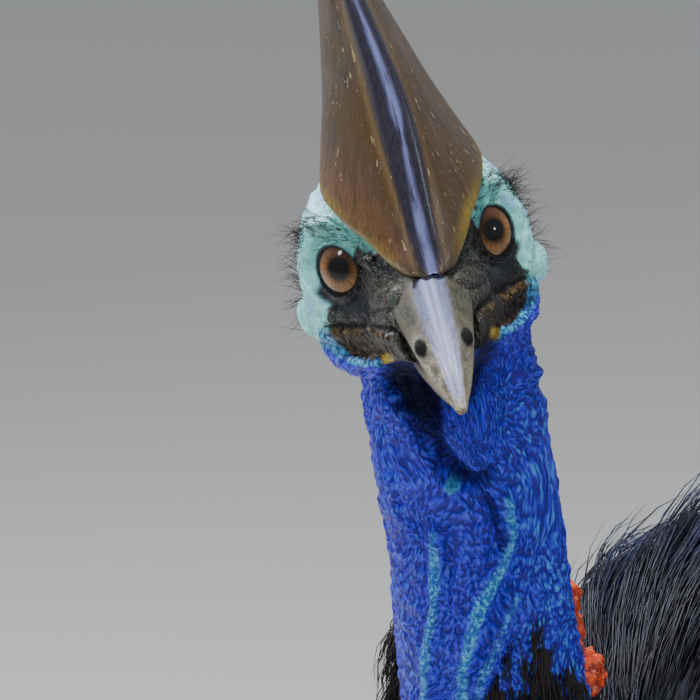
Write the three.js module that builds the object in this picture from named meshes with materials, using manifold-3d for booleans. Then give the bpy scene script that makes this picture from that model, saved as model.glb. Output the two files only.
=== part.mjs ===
// Southern cassowary, adult, standing still with its neck half drawn in and its head turned to the left.
// Millimetres, +Z up. The body faces -Y and its left side is +X. The origin is on the floor, under the
// middle of the whole bird's box.
import * as THREE from "three";
import { mergeVertices } from "three/addons/utils/BufferGeometryUtils.js";
import Module from "manifold-3d";

const wasm = await Module();
wasm.setup();

// Driving dimensions.
const EYE_HEIGHT = 1180; // pupils above the floor
const HEAD_LEFT = 57; // middle of the eyes, left of the body's midline
const HEAD_FORWARD = 406; // middle of the eyes, in front of the body's centre
const GAP = 0.3; // between pieces that touch
const SEED = 11; // draws the small differences between locks and between knobs

// How the head is held, in degrees: turned to the left, seen along a sight line that rises in front of
// it, rolled to its right about that line and nodded below it.
const HEAD_TURN = 45;
const SIGHT_RISE = 15;
const HEAD_ROLL = 13.6;
const HEAD_NOD = 20;
const HEAD_SWING = 0.8;

const rad = THREE.MathUtils.degToRad;
const vec = (x, y, z) => new THREE.Vector3(x, y, z);
const mix = THREE.MathUtils.lerp;
const clamp = THREE.MathUtils.clamp;
const DOWN = vec(0, 0, -1);
const SIDES = { left: 1, right: -1 };

// The head's own frame: X to the bird's left, Y backwards, Z up, with its origin between the eyes.
const headPose = new THREE.Matrix4().makeTranslation(HEAD_LEFT, -HEAD_FORWARD, EYE_HEIGHT);
headPose.multiply(new THREE.Matrix4().makeRotationZ(rad(HEAD_TURN)));
headPose.multiply(new THREE.Matrix4().makeRotationX(rad(-SIGHT_RISE)));
headPose.multiply(new THREE.Matrix4().makeRotationY(rad(-HEAD_ROLL)));
headPose.multiply(new THREE.Matrix4().makeRotationX(rad(HEAD_NOD)));
headPose.multiply(new THREE.Matrix4().makeRotationZ(rad(HEAD_SWING)));
const inHead = (left, forward, up) => vec(left, -forward, up).applyMatrix4(headPose);

// A number from 0 to 1 that varies, alike on every run.
function dice(seed) {
  let state = seed;
  return () => {
    state = (state + 0x6d2b79f5) | 0;
    let t = Math.imul(state ^ (state >>> 15), 1 | state);
    t = (t + Math.imul(t ^ (t >>> 7), 61 | t)) ^ t;
    return ((t ^ (t >>> 14)) >>> 0) / 4294967296;
  };
}

// The value at t, from 0 to 1, of a smooth curve through evenly spaced values.
function along(values, t) {
  const last = values.length - 1;
  const x = clamp(t, 0, 1) * last;
  const i = Math.min(Math.floor(x), last - 1);
  const f = x - i;
  const at = (k) => values[clamp(k, 0, last)];
  const [a, b, c, d] = [at(i - 1), at(i), at(i + 1), at(i + 2)];
  return b + 0.5 * f * (c - a + f * (2 * a - 5 * b + 4 * c - d + f * (3 * (b - c) + d - a)));
}

// A closed skin of rings and sides, each point placed by its share of the length, its angle round the
// ring and its reach from the ring's middle, which is 0 only in the middle of the two end caps.
function wrap(rings, sides, place) {
  const g = new THREE.CylinderGeometry(1, 1, 1, sides, rings);
  const p = g.attributes.position;
  for (let i = 0; i < p.count; i++) {
    const reach = Math.min(Math.hypot(p.getX(i), p.getZ(i)), 1);
    const at = place(0.5 - p.getY(i), Math.atan2(p.getX(i), p.getZ(i)), reach);
    p.setXYZ(i, at.x, at.y, at.z);
  }
  return g;
}

function solid(g) {
  g.deleteAttribute("normal");
  g.deleteAttribute("uv");
  const merged = mergeVertices(g, 1e-3);
  const corners = merged.index.array;
  const kept = [];
  for (let i = 0; i < corners.length; i += 3) {
    const [a, b, c] = [corners[i], corners[i + 1], corners[i + 2]];
    if (a !== b && b !== c && a !== c) kept.push(a, b, c);
  }
  const vertProperties = merged.attributes.position.array;
  const made = new wasm.Manifold(
    new wasm.Mesh({ numProp: 3, vertProperties, triVerts: new Uint32Array(kept) }),
  );
  if (made.volume() >= 0) return made;
  for (let i = 0; i < kept.length; i += 3) [kept[i + 1], kept[i + 2]] = [kept[i + 2], kept[i + 1]];
  return new wasm.Manifold(
    new wasm.Mesh({ numProp: 3, vertProperties, triVerts: new Uint32Array(kept) }),
  );
}

const join = (solids) => wasm.Manifold.union(solids);
const largest = (s) => s.decompose().reduce((a, b) => (b.volume() > a.volume() ? b : a));

// A ball with its own radii and turn, at a place given in the frame of the matrix.
function ball(centre, radii, across = 12, down = 8, pose = headPose, turn = [0, 0, 0]) {
  const g = new THREE.SphereGeometry(1, across, down);
  g.scale(...radii);
  g.applyMatrix4(new THREE.Matrix4().makeRotationFromEuler(new THREE.Euler(...turn.map(rad))));
  g.translate(...centre);
  g.applyMatrix4(pose);
  return solid(g);
}

// A round or oval tube along points, with a radius at each, alike in both caps.
function tube(points, radii, rings, sides, grow = 0, flat = 1, across = null) {
  const curve = new THREE.CatmullRomCurve3(points);
  return solid(
    wrap(rings, sides, (t, angle, reach) => {
      const tangent = curve.getTangent(t);
      const side = (across ?? vec(1, 0, 0)).clone();
      side.addScaledVector(tangent, -side.dot(tangent)).normalize();
      const up = vec(0, 0, 0).crossVectors(tangent, side);
      const r = (along(radii, t) + grow) * reach;
      const past = t < 1e-6 ? -grow : t > 1 - 1e-6 ? grow : 0;
      return curve
        .getPoint(t)
        .addScaledVector(tangent, past)
        .addScaledVector(side, Math.sin(angle) * r)
        .addScaledVector(up, Math.cos(angle) * r * flat);
    }),
  );
}

// Head

// Stations from the back of the head to the root of the bill: half width, height of crown and throat.
const HEAD_BACK = -75;
const HEAD_FRONT = 48;
const HEAD_HALF = [0, 24, 36, 41.5, 43.5, 41, 33, 27, 23.5, 19, 15];
const HEAD_CROWN = [-5, 17, 27, 31, 31, 29, 26, 22, 17, 11, 5];
const HEAD_THROAT = [-6, -32, -45, -52, -54, -53, -49, -43, -38, -33, -29];
const HEAD_SQUARE = 0.92; // how full the section's corners are; 1 is an ellipse
const JOWL_SQUARE = 0.6; // the same below, where the cheeks hang full

function headPoint(t, angle, reach, grow = 0) {
  const forward = mix(HEAD_BACK - grow, HEAD_FRONT + grow, t);
  const half = along(HEAD_HALF, t) + grow;
  const crown = along(HEAD_CROWN, t) + grow;
  const throat = along(HEAD_THROAT, t) - grow;
  const round = (v) => Math.sign(v) * Math.abs(v) ** HEAD_SQUARE;
  const full = Math.cos(angle) < 0 ? JOWL_SQUARE : HEAD_SQUARE;
  const left = Math.sign(Math.sin(angle)) * Math.abs(Math.sin(angle)) ** full * half * reach;
  const up = (crown + throat) / 2 + round(Math.cos(angle)) * ((crown - throat) / 2) * reach;
  return inHead(left, forward, up);
}
const headForm = (grow = 0) => solid(wrap(13, 16, (t, a, r) => headPoint(t, a, r, grow)));

// Eyes look outwards and forwards; the ball stands in a socket with a rim of lids.
const EYE_RADIUS = 13;
const EYE_OUT = 22.8;
const EYE_BACK = 6.7;
const EYE_ASIDE = 48; // degrees from straight ahead
const LID_RADIUS = 10.2;
const LID_THICK = 2.1;
const eyeAt = (s) => [s * EYE_OUT, EYE_BACK, -1];

function lids(s) {
  const g = new THREE.TorusGeometry(LID_RADIUS, LID_THICK, 4, 12);
  g.scale(0.93, 1.08, 1);
  g.rotateX(rad(90));
  g.translate(0, -Math.sqrt(EYE_RADIUS ** 2 - LID_RADIUS ** 2) - 0.6, 0);
  g.rotateZ(rad(s * EYE_ASIDE));
  g.translate(...eyeAt(s));
  g.applyMatrix4(headPose);
  return solid(g);
}

// The swelling over the ear behind each cheek.
const EAR_SWELLING = { at: [37.5, 33, -25], radii: [9.5, 10, 11] };
// The mouth's crease runs back from the bill to under the ear.
const CREASE = [
  [13.5, 46, -17],
  [18, 30, -18],
  [26, 8, -21],
  [37, -12, -25.5],
  [41.5, -26, -31],
];
const CREASE_RADII = [1.6, 1.6, 1.8, 1.6, 1];

// The brow runs from a point over the ear along the casque's edge to the bill.
const BROW = [
  [38, -27, 4.5],
  [34, -20, 11],
  [29.5, -5, 17],
  [24, 13, 15],
  [16.5, 29, 9],
  [8.5, 44, 6],
];
const BROW_RADII = [2.5, 4, 4.5, 4.5, 4.2, 2.6];
const headLine = (line, s) => line.map(([left, forward, up]) => inHead(s * left, forward, up));

const EAR_OPENING = { at: [39, 47, -14], radii: [5, 3.5, 3.5] };
const eyeball = (s, grow = 0) => ball(eyeAt(s), Array(3).fill(EYE_RADIUS + grow), 12, 8);
const mirrorAt = ([left, back, up], s) => [s * left, back, up];
const bothSides = (make) => Object.values(SIDES).map(make);

// The skull with its swellings, as the pieces round it are cut to.
function headMass(grow = 0) {
  const radii = EAR_SWELLING.radii.map((r) => r + grow);
  const swellings = bothSides((s) => ball(mirrorAt(EAR_SWELLING.at, s), radii, 8, 6));
  return join([headForm(grow), ...swellings]);
}

function headSolid() {
  const brows = bothSides((s) => tube(headLine(BROW, s), BROW_RADII, 7, 5));
  const rims = join([...brows, lids(1), lids(-1)]).subtract(casqueForm(GAP));
  let s = headMass().add(rims);
  for (const side of Object.values(SIDES)) {
    s = s.subtract(eyeball(side, GAP)).subtract(tube(headLine(CREASE, side), CREASE_RADII, 6, 4));
    s = s.subtract(ball(mirrorAt(EAR_OPENING.at, side), EAR_OPENING.radii, 6, 4));
  }
  return s;
}

// Casque: a tall blade with a rounded keel in front, thickest low and behind the middle.
const CASQUE_FOOT = 6;
const CASQUE_TOP = 133;
const CASQUE_FRONT = [50, 42, 36, 30, 23, 15, 5, -9, -27];
const CASQUE_REAR = [-52, -60, -64, -67, -68, -67, -62, -54, -38];
const CASQUE_HALF = [29.5, 31, 26, 20.5, 16.3, 12.2, 8.8, 5.6, 2.2];
const CASQUE_LEAN = [2.6, 2.6, 3.2, 3.8, 3.6, 1.8, -0.5, -3.5, -6]; // of its keel to the left
const CASQUE_SWAY = [1.9, 1.8, 0.8, 0, -0.8, -1.8, -2.8, -4.2, -6]; // of its sides to the left
const CASQUE_EDGE = [24, 24, 23.3, 22.3, 20, 13.8, 7.4]; // height of its lower edge, from rear to front
const CASQUE_TUCK = 0.45; // how much narrower it is under that edge
const CASQUE_THICKEST = 0.42; // share of the way from its rear to its front

function casquePoint(t, angle, reach, grow = 0) {
  const front = along(CASQUE_FRONT, t) + grow;
  const rear = along(CASQUE_REAR, t) - grow;
  const c = Math.cos(angle);
  const thickest = mix(rear, front, CASQUE_THICKEST);
  const forward = thickest + (c > 0 ? front - thickest : thickest - rear) * c * reach;
  const pinch = c > 0 ? 1 - 0.28 * c * c : 1 - 0.1 * c * c;
  const edge = along(CASQUE_EDGE, (forward - CASQUE_REAR[2]) / (CASQUE_FRONT[0] - CASQUE_REAR[2]));
  const under = edge - mix(CASQUE_FOOT, CASQUE_TOP, t);
  const half = along(CASQUE_HALF, t) * (1 - CASQUE_TUCK * THREE.MathUtils.smoothstep(under, -3, 9)) + grow;
  const lean = mix(along(CASQUE_SWAY, t), along(CASQUE_LEAN, t), Math.max(c, 0) ** 2);
  const left = half * Math.sin(angle) * pinch * reach + lean;
  return inHead(left, forward, mix(CASQUE_FOOT - grow, CASQUE_TOP + grow, t));
}
const casqueForm = (grow = 0) => solid(wrap(12, 14, (t, a, r) => casquePoint(t, a, r, grow)));

// Bill: the upper half is a ridged roof with slit nostrils and a hooked tip; the lower half is shorter.
const BILL_ROOT = 34;
const UPPER = {
  tip: 101,
  half: [15.5, 14.3, 13, 11.4, 9.2, 6.2, 1.8],
  ridge: [11, 8, 4.2, -0.6, -7, -14.5, -25],
  edge: [-17, -17.6, -18.6, -20, -22, -25, -28],
};
const LOWER = {
  tip: 92,
  half: [12.5, 11.4, 10, 8.6, 7, 4.8, 1.6],
  ridge: [-17.6, -18.2, -19.2, -20.6, -22.6, -24.6, -27],
  edge: [-37, -37, -36, -34.6, -33, -31, -29],
};

const ROOF = 0.35; // how much narrower the upper half is at its ridge than at its edge
const NOSTRIL = { at: [11.5, -67, -11.5], radii: [4.2, 6.5, 2.3], pitch: 9, aside: 12 };

function billForm(half, shape, grow = 0) {
  return solid(
    wrap(8, 10, (t, angle, reach) => {
      const rise = (1 + Math.cos(angle) * reach) / 2;
      const up = mix(along(shape.edge, t) - grow, along(shape.ridge, t) + grow, rise);
      const roof = half === "upper" ? 1 - ROOF * Math.max(Math.cos(angle), 0) : 1;
      const left = Math.sin(angle) * (along(shape.half, t) + grow) * roof * reach;
      return inHead(left, mix(BILL_ROOT - grow, shape.tip + grow, t), up);
    }),
  );
}

function upperBill() {
  let s = billForm("upper", UPPER);
  for (const side of Object.values(SIDES)) {
    const turn = [NOSTRIL.pitch, 0, -side * NOSTRIL.aside];
    s = s.subtract(ball(mirrorAt(NOSTRIL.at, side), NOSTRIL.radii, 6, 4, headPose, turn));
  }
  return s.subtract(headMass(GAP)).subtract(casqueForm(GAP));
}

// Neck

// The middle of the neck from inside the head down to the breast, and how far its front is turned left.
const NECK_PATH = [
  vec(33, -372, 1168),
  vec(32, -362, 1118),
  vec(23, -338, 1042),
  vec(9, -313, 980),
  vec(3, -290, 925),
  vec(0, -255, 870),
  vec(0, -200, 825),
];
const NECK_HALF = [30, 33, 33.5, 36.5, 44, 58, 76];
const NECK_DEPTH = [30, 33, 33, 36, 44, 60, 80];
const NECK_TURN = [45, 45, 42, 20, 6, 0, 0];
const NECK_FEATHERED = 0.52; // the share of its length at which the plumage starts
const neckCurve = new THREE.CatmullRomCurve3(NECK_PATH);

function neckFrame(t) {
  const tangent = neckCurve.getTangent(t);
  const turn = rad(along(NECK_TURN, t));
  const front = vec(Math.sin(turn), -Math.cos(turn), 0);
  front.addScaledVector(tangent, -front.dot(tangent)).normalize();
  return { centre: neckCurve.getPoint(t), tangent, front, left: vec(0, 0, 0).crossVectors(front, tangent) };
}

// The angle is 0 at the front of the neck and grows towards its left.
function neckPoint(t, angle, reach, grow = 0) {
  const { centre, front, left } = neckFrame(t);
  return centre
    .addScaledVector(left, Math.sin(angle) * (along(NECK_HALF, t) + grow) * reach)
    .addScaledVector(front, Math.cos(angle) * (along(NECK_DEPTH, t) + grow) * reach);
}
const neckForm = (from, to, rings, grow = 0) =>
  solid(wrap(rings, 14, (t, a, r) => neckPoint(mix(from, to, t), a, r, grow)));

// Two cords of loose skin run down the front of the neck to the wattles.
const CORD_TOP = 0.3;
const CORD_ANGLE = [0.62, 0.72, 0.6, 0.5];
const CORD_RADII = [2, 4, 4.4, 4.4, 5];
function cord(s, grow = 0) {
  const steps = 5;
  const points = [];
  for (let i = 0; i <= steps; i++) {
    const t = mix(CORD_TOP, NECK_FEATHERED - 0.006, i / steps);
    points.push(neckPoint(t, s * along(CORD_ANGLE, i / steps), 1.01));
  }
  return tube(points, CORD_RADII, 7, 5, grow);
}

// A loose fold hangs under the chin.
const THROAT_FOLD = { at: [1, 4, -77], radii: [8, 11, 21], pitch: -15 };
const throatFold = () => ball(THROAT_FOLD.at, THROAT_FOLD.radii, 10, 8, headPose, [THROAT_FOLD.pitch, 0, 0]);

function bareNeck() {
  const s = join([neckForm(0, NECK_FEATHERED, 10), ...bothSides((side) => cord(side)), throatFold()]);
  return s.subtract(headMass(GAP));
}

// Wattles: two long drops of bare skin that hang from the ends of the cords.
const WATTLE_LENGTH = 105;
const WATTLE_HALF = [5, 6.5, 9, 12, 12.5, 9, 2.5];
const WATTLE_FLAT = 0.5;
function wattle(s, grow = 0) {
  const root = neckPoint(NECK_FEATHERED - 0.02, s * CORD_ANGLE.at(-1), 1.0);
  const { front } = neckFrame(NECK_FEATHERED);
  const points = [0, 0.2, 0.6, 1].map((t) =>
    root
      .clone()
      .addScaledVector(front, 5 + 24 * t - 9 * t * t)
      .addScaledVector(DOWN, WATTLE_LENGTH * t),
  );
  return tube(points, WATTLE_HALF, 8, 8, grow, WATTLE_FLAT, vec(1, 0, 0));
}

// Caruncles: a patch of knobbly bare skin down the nape and the sides of the lower neck.
const CARUNCLE_ROWS = 3;
const CARUNCLES_A_ROW = 5;
const CARUNCLE_SIZE = { least: 10, most: 12.5, tall: 1.2, out: 1.04 };
function caruncles(grow = 0) {
  const knobs = [];
  const roll = dice(SEED);
  for (let row = 0; row < CARUNCLE_ROWS; row++) {
    for (let k = 0; k < CARUNCLES_A_ROW; k++) {
      const t = mix(0.4, 0.5, row / (CARUNCLE_ROWS - 1)) + roll() * 0.006;
      const angle = Math.PI + (k - 2 + (row % 2) * 0.4) * 0.46 + (roll() - 0.5) * 0.12;
      const size = mix(CARUNCLE_SIZE.least, CARUNCLE_SIZE.most, roll()) + grow;
      const at = neckPoint(t, angle, CARUNCLE_SIZE.out).toArray();
      knobs.push(ball(at, [size, size, size * CARUNCLE_SIZE.tall], 5, 4, new THREE.Matrix4()));
    }
  }
  if (grow) return join(knobs);
  return join(knobs).subtract(neckForm(0.3, NECK_FEATHERED, 12, GAP)).subtract(neckBase(GAP));
}

// Torso

// Stations from the breast to the rump: half width, height of the back and of the belly, under the coat.
const TORSO_BREAST = -268;
const TORSO_RUMP = 390;
const TORSO_HALF = [30, 122, 156, 166, 165, 154, 132, 98, 30];
const TORSO_BACK = [826, 966, 1002, 1005, 995, 971, 933, 876, 790];
const TORSO_BELLY = [770, 700, 650, 622, 618, 634, 666, 702, 745];
const TAIL_FROM = 0.8; // the share of the length behind which the rump hangs as a tail

function torsoPoint(t, angle, reach, grow = 0) {
  const y = mix(TORSO_BREAST - grow, TORSO_RUMP + grow, t);
  const half = along(TORSO_HALF, t) + grow;
  const back = along(TORSO_BACK, t) + grow;
  const belly = along(TORSO_BELLY, t) - grow;
  const x = Math.sin(angle) * half * reach;
  return vec(x, y, (back + belly) / 2 + Math.cos(angle) * ((back - belly) / 2) * reach);
}
const torsoForm = (from, to, rings, sides, grow = 0) =>
  solid(wrap(rings, sides, (t, a, r) => torsoPoint(mix(from, to, t), a, r, grow)));
const neckBase = (grow = 0) => neckForm(NECK_FEATHERED - grow / 1000, 1, 7, grow);

// Plumage: flat tapered locks in rows, each rooted under the surface that it grows from.
const STEPS = [0, 0.28, 0.7, 1]; // where a lock has its rings, as shares of its length
const LOCK_WIDTH = [0.55, 1, 0.74, 0];
const LOCK_THICK = [0.7, 1, 0.66, 0];

function lockSolid({ root, normal, lie, length, width, thick, sink, lift, droop }, grow = 0) {
  const g = new THREE.ConeGeometry(1, 1, 4, STEPS.length - 1);
  const spine = [root.clone().addScaledVector(normal, -sink)];
  const headings = [];
  for (let k = 0; k < STEPS.length; k++) {
    const share = STEPS[k];
    const heading = lie.clone().addScaledVector(normal, lift * (1 - 1.5 * share));
    headings.push(heading.addScaledVector(DOWN, droop * share).normalize());
    if (k) spine.push(spine[k - 1].clone().addScaledVector(headings[k - 1], length * (share - STEPS[k - 1])));
  }
  const p = g.attributes.position;
  for (let i = 0; i < p.count; i++) {
    const k = Math.round((p.getY(i) + 0.5) * (STEPS.length - 1));
    const reach = Math.hypot(p.getX(i), p.getZ(i));
    const inner = reach < 1e-6 ? 0 : 1 / reach;
    const across = vec(0, 0, 0).crossVectors(headings[k], normal).normalize();
    const face = vec(0, 0, 0).crossVectors(across, headings[k]);
    const half = (width * LOCK_WIDTH[k]) / 2 + grow;
    const deep = (thick * LOCK_THICK[k]) / 2 + grow;
    const at = spine[k]
      .clone()
      .addScaledVector(across, p.getX(i) * inner * half)
      .addScaledVector(face, p.getZ(i) * inner * deep);
    if (k === STEPS.length - 1) at.addScaledVector(headings[k], grow * 4);
    p.setXYZ(i, at.x, at.y, at.z);
  }
  return solid(g);
}

// The place, outward normal and lie of the coat on a skin, given as a function of length and angle.
function rootOn(skin, t, angle, lieOf) {
  const root = skin(t, angle);
  const ahead = skin(t + 0.01, angle).sub(skin(t - 0.01, angle));
  const round = skin(t, angle + 0.03).sub(skin(t, angle - 0.03));
  const normal = vec(0, 0, 0).crossVectors(round, ahead).normalize();
  const middle = skin(t, 0).add(skin(t, Math.PI)).multiplyScalar(0.5);
  if (normal.dot(root.clone().sub(middle)) < 0) normal.negate();
  const lie = lieOf(t, angle, normal);
  lie.addScaledVector(normal, -lie.dot(normal)).normalize();
  return { root, normal, lie };
}

// Rows of locks over a skin. Each row runs from -span to span about the angle given, and every other
// row is set half a step over.
function coat({ skin, lieOf, rows, from, to, spacing, span, middle = 0, size, seed }) {
  const roll = dice(seed);
  const locks = [];
  for (let row = 0; row < rows; row++) {
    const t = mix(from, to, rows > 1 ? row / (rows - 1) : 0);
    const girth = skin(t, middle - 0.05).distanceTo(skin(t, middle + 0.05)) * 10 * 2 * span;
    const count = Math.max(2, Math.round(girth / spacing));
    for (let k = 0; k < count; k++) {
      const share = (k + (row % 2 ? 0.25 : 0.75)) / count;
      const angle = middle + mix(-span, span, share) + (roll() - 0.5) * 0.06;
      const place = rootOn(skin, t + (roll() - 0.5) * 0.02, angle, lieOf);
      const sway = (roll() - 0.5) * 0.24;
      const across = vec(0, 0, 0).crossVectors(place.lie, place.normal);
      place.lie.addScaledVector(across, sway).normalize();
      const vary = 0.88 + 0.24 * roll();
      const { length, width, thick, sink, lift, droop } = size(t, angle);
      locks.push({ ...place, length: length * vary, width, thick, sink, lift, droop });
    }
  }
  return locks;
}

const torsoSkin = (t, angle) => torsoPoint(t, angle, 1);
function torsoLie(t, angle) {
  const fall = 0.2 + 0.75 * Math.abs(Math.sin(angle)) + 1.4 * Math.max(0, 0.16 - t) + 0.5 * t;
  return vec(0, 1, 0).addScaledVector(DOWN, fall);
}
const TORSO_COAT = {
  skin: torsoSkin,
  lieOf: torsoLie,
  rows: 7,
  from: 0.05,
  to: 0.79,
  spacing: 101,
  span: 2.55,
  seed: SEED,
  size: (t, angle) => ({
    length: mix(140, 220, t) + 55 * Math.abs(Math.sin(angle)),
    width: 86,
    thick: 11,
    sink: 10,
    lift: 0.42,
    droop: 0.15 + 0.7 * Math.abs(Math.sin(angle)),
  }),
};
const TAIL_COAT = {
  skin: torsoSkin,
  lieOf: (t, angle) => vec(0, 1, 0).addScaledVector(DOWN, 0.7 + Math.abs(Math.sin(angle))),
  rows: 3,
  from: 0.84,
  to: 0.95,
  spacing: 66,
  span: 2.4,
  seed: SEED + 1,
  size: () => ({ length: 225, width: 66, thick: 11, sink: 12, lift: 0.36, droop: 1.3 }),
};
const NECK_COAT = {
  skin: (t, angle) => neckPoint(t, angle, 1),
  lieOf: () => vec(0, 0.1, -1),
  rows: 4,
  from: NECK_FEATHERED + 0.035,
  to: 0.84,
  spacing: 46,
  span: Math.PI,
  seed: SEED + 2,
  size: (t) => ({
    length: mix(52, 110, (t - NECK_FEATHERED) / 0.4),
    width: mix(34, 58, (t - NECK_FEATHERED) / 0.4),
    thick: 7,
    sink: 7,
    lift: 0.3,
    droop: 0.2,
  }),
};

// Legs

const FOOT_OUT = 98;
const FOOT_BACK = 62; // the middle of the foot's pad, behind the body's middle
const STRIDE = { left: -34, right: 34 }; // each foot's place before or behind that
const THIGH_PATH = [vec(90, 50, 745), vec(108, -8, 640), vec(106, 18, 520), vec(98, 100, 400)];
const THIGH_RADII = [82, 82, 58, 31];
const SHANK_PATH = [vec(98, 100, 392), vec(98, 84, 290), vec(FOOT_OUT, 62, 150), vec(FOOT_OUT, 46, 52)];
const SHANK_RADII = [29, 18.5, 16, 19];
const SCUTE = 0.12; // how far each plate's lower edge stands out in front, as a share of the radius
const SHIN_PLATES = 10;
const TOE_PLATES = 5;

// Plates overlap down a limb: each is one ring at its upper edge and one, further out, at its lower.
function plated(t, plates) {
  const ring = Math.round(t * (2 * plates - 1));
  const lower = ring % 2;
  return { at: (Math.floor(ring / 2) + 0.94 * lower) / (plates - 0.06), proud: lower };
}

// A leg's point, mirrored for its side, with the foot's stride added in full at the floor.
function legPoint(p, s) {
  const step = s > 0 ? STRIDE.left : STRIDE.right;
  return vec(p.x * s, p.y + step * clamp(1 - p.z / 760, 0, 1), p.z);
}

function thighCore(s, grow = 0) {
  return tube(
    THIGH_PATH.map((p) => legPoint(p, s)),
    THIGH_RADII,
    7,
    10,
    grow,
  );
}
function thighCoat(s) {
  const curve = new THREE.CatmullRomCurve3(THIGH_PATH.map((p) => legPoint(p, s)));
  const skin = (t, angle) => {
    const r = along(THIGH_RADII, t);
    return curve.getPoint(t).add(vec(Math.sin(angle) * r, -Math.cos(angle) * r, 0));
  };
  return coat({
    skin,
    lieOf: (t) => curve.getTangent(clamp(t, 0, 1)),
    rows: 3,
    from: 0.56,
    to: 0.86,
    spacing: 58,
    span: Math.PI,
    seed: SEED + 3,
    size: (t) => ({
      length: mix(86, 60, t),
      width: mix(60, 36, t),
      thick: 7,
      sink: 6,
      lift: 0.2,
      droop: 0.1,
    }),
  });
}
const thighSolid = (s, grow = 0) =>
  join([thighCore(s, grow), ...thighCoat(s).map((l) => lockSolid(l, grow))]);

function shankForm(s, grow = 0) {
  const curve = new THREE.CatmullRomCurve3(SHANK_PATH.map((p) => legPoint(p, s)));
  return solid(
    wrap(2 * SHIN_PLATES - 1, 8, (t, angle, reach) => {
      const { at, proud } = plated(t, SHIN_PLATES);
      const plate = proud * SCUTE * Math.max(Math.cos(angle), 0);
      const r = (along(SHANK_RADII, at) * (1 + plate) + grow) * reach;
      return curve.getPoint(at).add(vec(Math.sin(angle) * r, -Math.cos(angle) * r * 1.12, 0));
    }),
  );
}

// Feet: a pad under the shank and three toes flat on the floor, the inner one with a dagger claw.
const TOES = {
  middle: { aim: 2, length: 142, thick: 17, claw: 44, clawThick: 10 },
  inner: { aim: 25, length: 74, thick: 15, claw: 100, clawThick: 9 },
  outer: { aim: -33, length: 102, thick: 14.5, claw: 34, clawThick: 8.5 },
};
const PAD = { half: 27, long: 31, high: 44, centre: 12 };
const TOE_START = 16;

const padAt = (s) => legPoint(vec(FOOT_OUT, FOOT_BACK - 20, 0), s);
function footPad(s, grow = 0) {
  const g = new THREE.SphereGeometry(1, 12, 8);
  g.scale(PAD.half + grow, PAD.long + grow, PAD.high + grow);
  const at = padAt(s);
  g.translate(at.x, at.y, PAD.centre);
  const p = g.attributes.position;
  for (let i = 0; i < p.count; i++) p.setZ(i, Math.max(p.getZ(i), 0));
  return solid(g);
}

// A toe or claw as a tube laid on the floor from the pad, flat where it meets it.
function laid(s, toe, reachAt, rings, sides, radiusAt, heightAt) {
  const aim = rad(s * toe.aim);
  const ahead = vec(-Math.sin(aim), -Math.cos(aim), 0);
  const side = vec(-ahead.y, ahead.x, 0);
  return solid(
    wrap(rings, sides, (t, angle, reach) => {
      const r = radiusAt(t) * reach;
      const at = padAt(s).addScaledVector(ahead, reachAt(t));
      at.addScaledVector(side, Math.sin(angle) * r);
      at.z = Math.max(heightAt(t) + Math.cos(angle) * r, 0);
      return at;
    }),
  );
}
function toeForm(s, toe, grow = 0) {
  const thick = (t) => {
    const { at, proud } = plated(t, TOE_PLATES);
    return toe.thick * (1 - 0.28 * at) * (1 + 0.09 * proud);
  };
  const place = (t) => plated(t, TOE_PLATES).at;
  const reachAt = (t) => mix(TOE_START - grow, TOE_START + toe.length + grow, place(t));
  return laid(s, toe, reachAt, 2 * TOE_PLATES - 1, 7, (t) => thick(t) + grow, (t) => thick(t) * 0.7);
}
function clawForm(s, toe) {
  const start = TOE_START + toe.length - 6;
  const radiusAt = (t) => toe.clawThick * (1 - 0.92 * t ** 1.3);
  const reachAt = (t) => start + toe.claw * t;
  return laid(s, toe, reachAt, 5, 6, radiusAt, (t) => mix(toe.clawThick * 1.1, 1, t ** 1.4));
}

// Wings: a stub on the flank with five bare black quills that curve down and back over the coat.
const WING_PATH = [vec(140, -165, 862), vec(174, -115, 850), vec(186, -58, 812)];
const WING_RADII = [11, 14, 9];
const QUILLS = 5;
const QUILL_RADIUS = 3.2;

function wingForm(s, grow = 0) {
  const stub = WING_PATH.map((p) => vec(p.x * s, p.y, p.z));
  const parts = [tube(stub, WING_RADII, 3, 6, grow)];
  for (let q = 0; q < QUILLS; q++) {
    const share = q / (QUILLS - 1);
    const root = vec(s * mix(184, 176, share), mix(-62, -104, share), mix(812, 842, share));
    const reach = mix(175, 265, share);
    const points = [
      root,
      root.clone().add(vec(s * 44, 22, -8)),
      root.clone().add(vec(s * 66, reach * 0.42, -reach * 0.34)),
      root.clone().add(vec(s * 58, reach * 0.72, -reach * 0.78)),
    ];
    parts.push(tube(points, [QUILL_RADIUS, QUILL_RADIUS, QUILL_RADIUS * 0.8, 0.9], 5, 4, grow));
  }
  return join(parts);
}

const group = new THREE.Group();
const finish = (colour, roughness) =>
  new THREE.MeshStandardMaterial({ color: colour, roughness, metalness: 0 });
const MATERIALS = {
  blueSkin: finish(0x1f3fd0, 0.55),
  paleSkin: finish(0x7fc4c8, 0.6),
  casque: finish(0x5b4630, 0.35),
  bill: finish(0x6c7080, 0.35),
  eye: finish(0x8a4d1a, 0.08),
  wattle: finish(0xc8321e, 0.5),
  caruncle: finish(0xe2502a, 0.5),
  plumage: finish(0x0d0e14, 0.5),
  scales: finish(0x55524a, 0.6),
  claw: finish(0x1d1b1a, 0.4),
};

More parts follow.
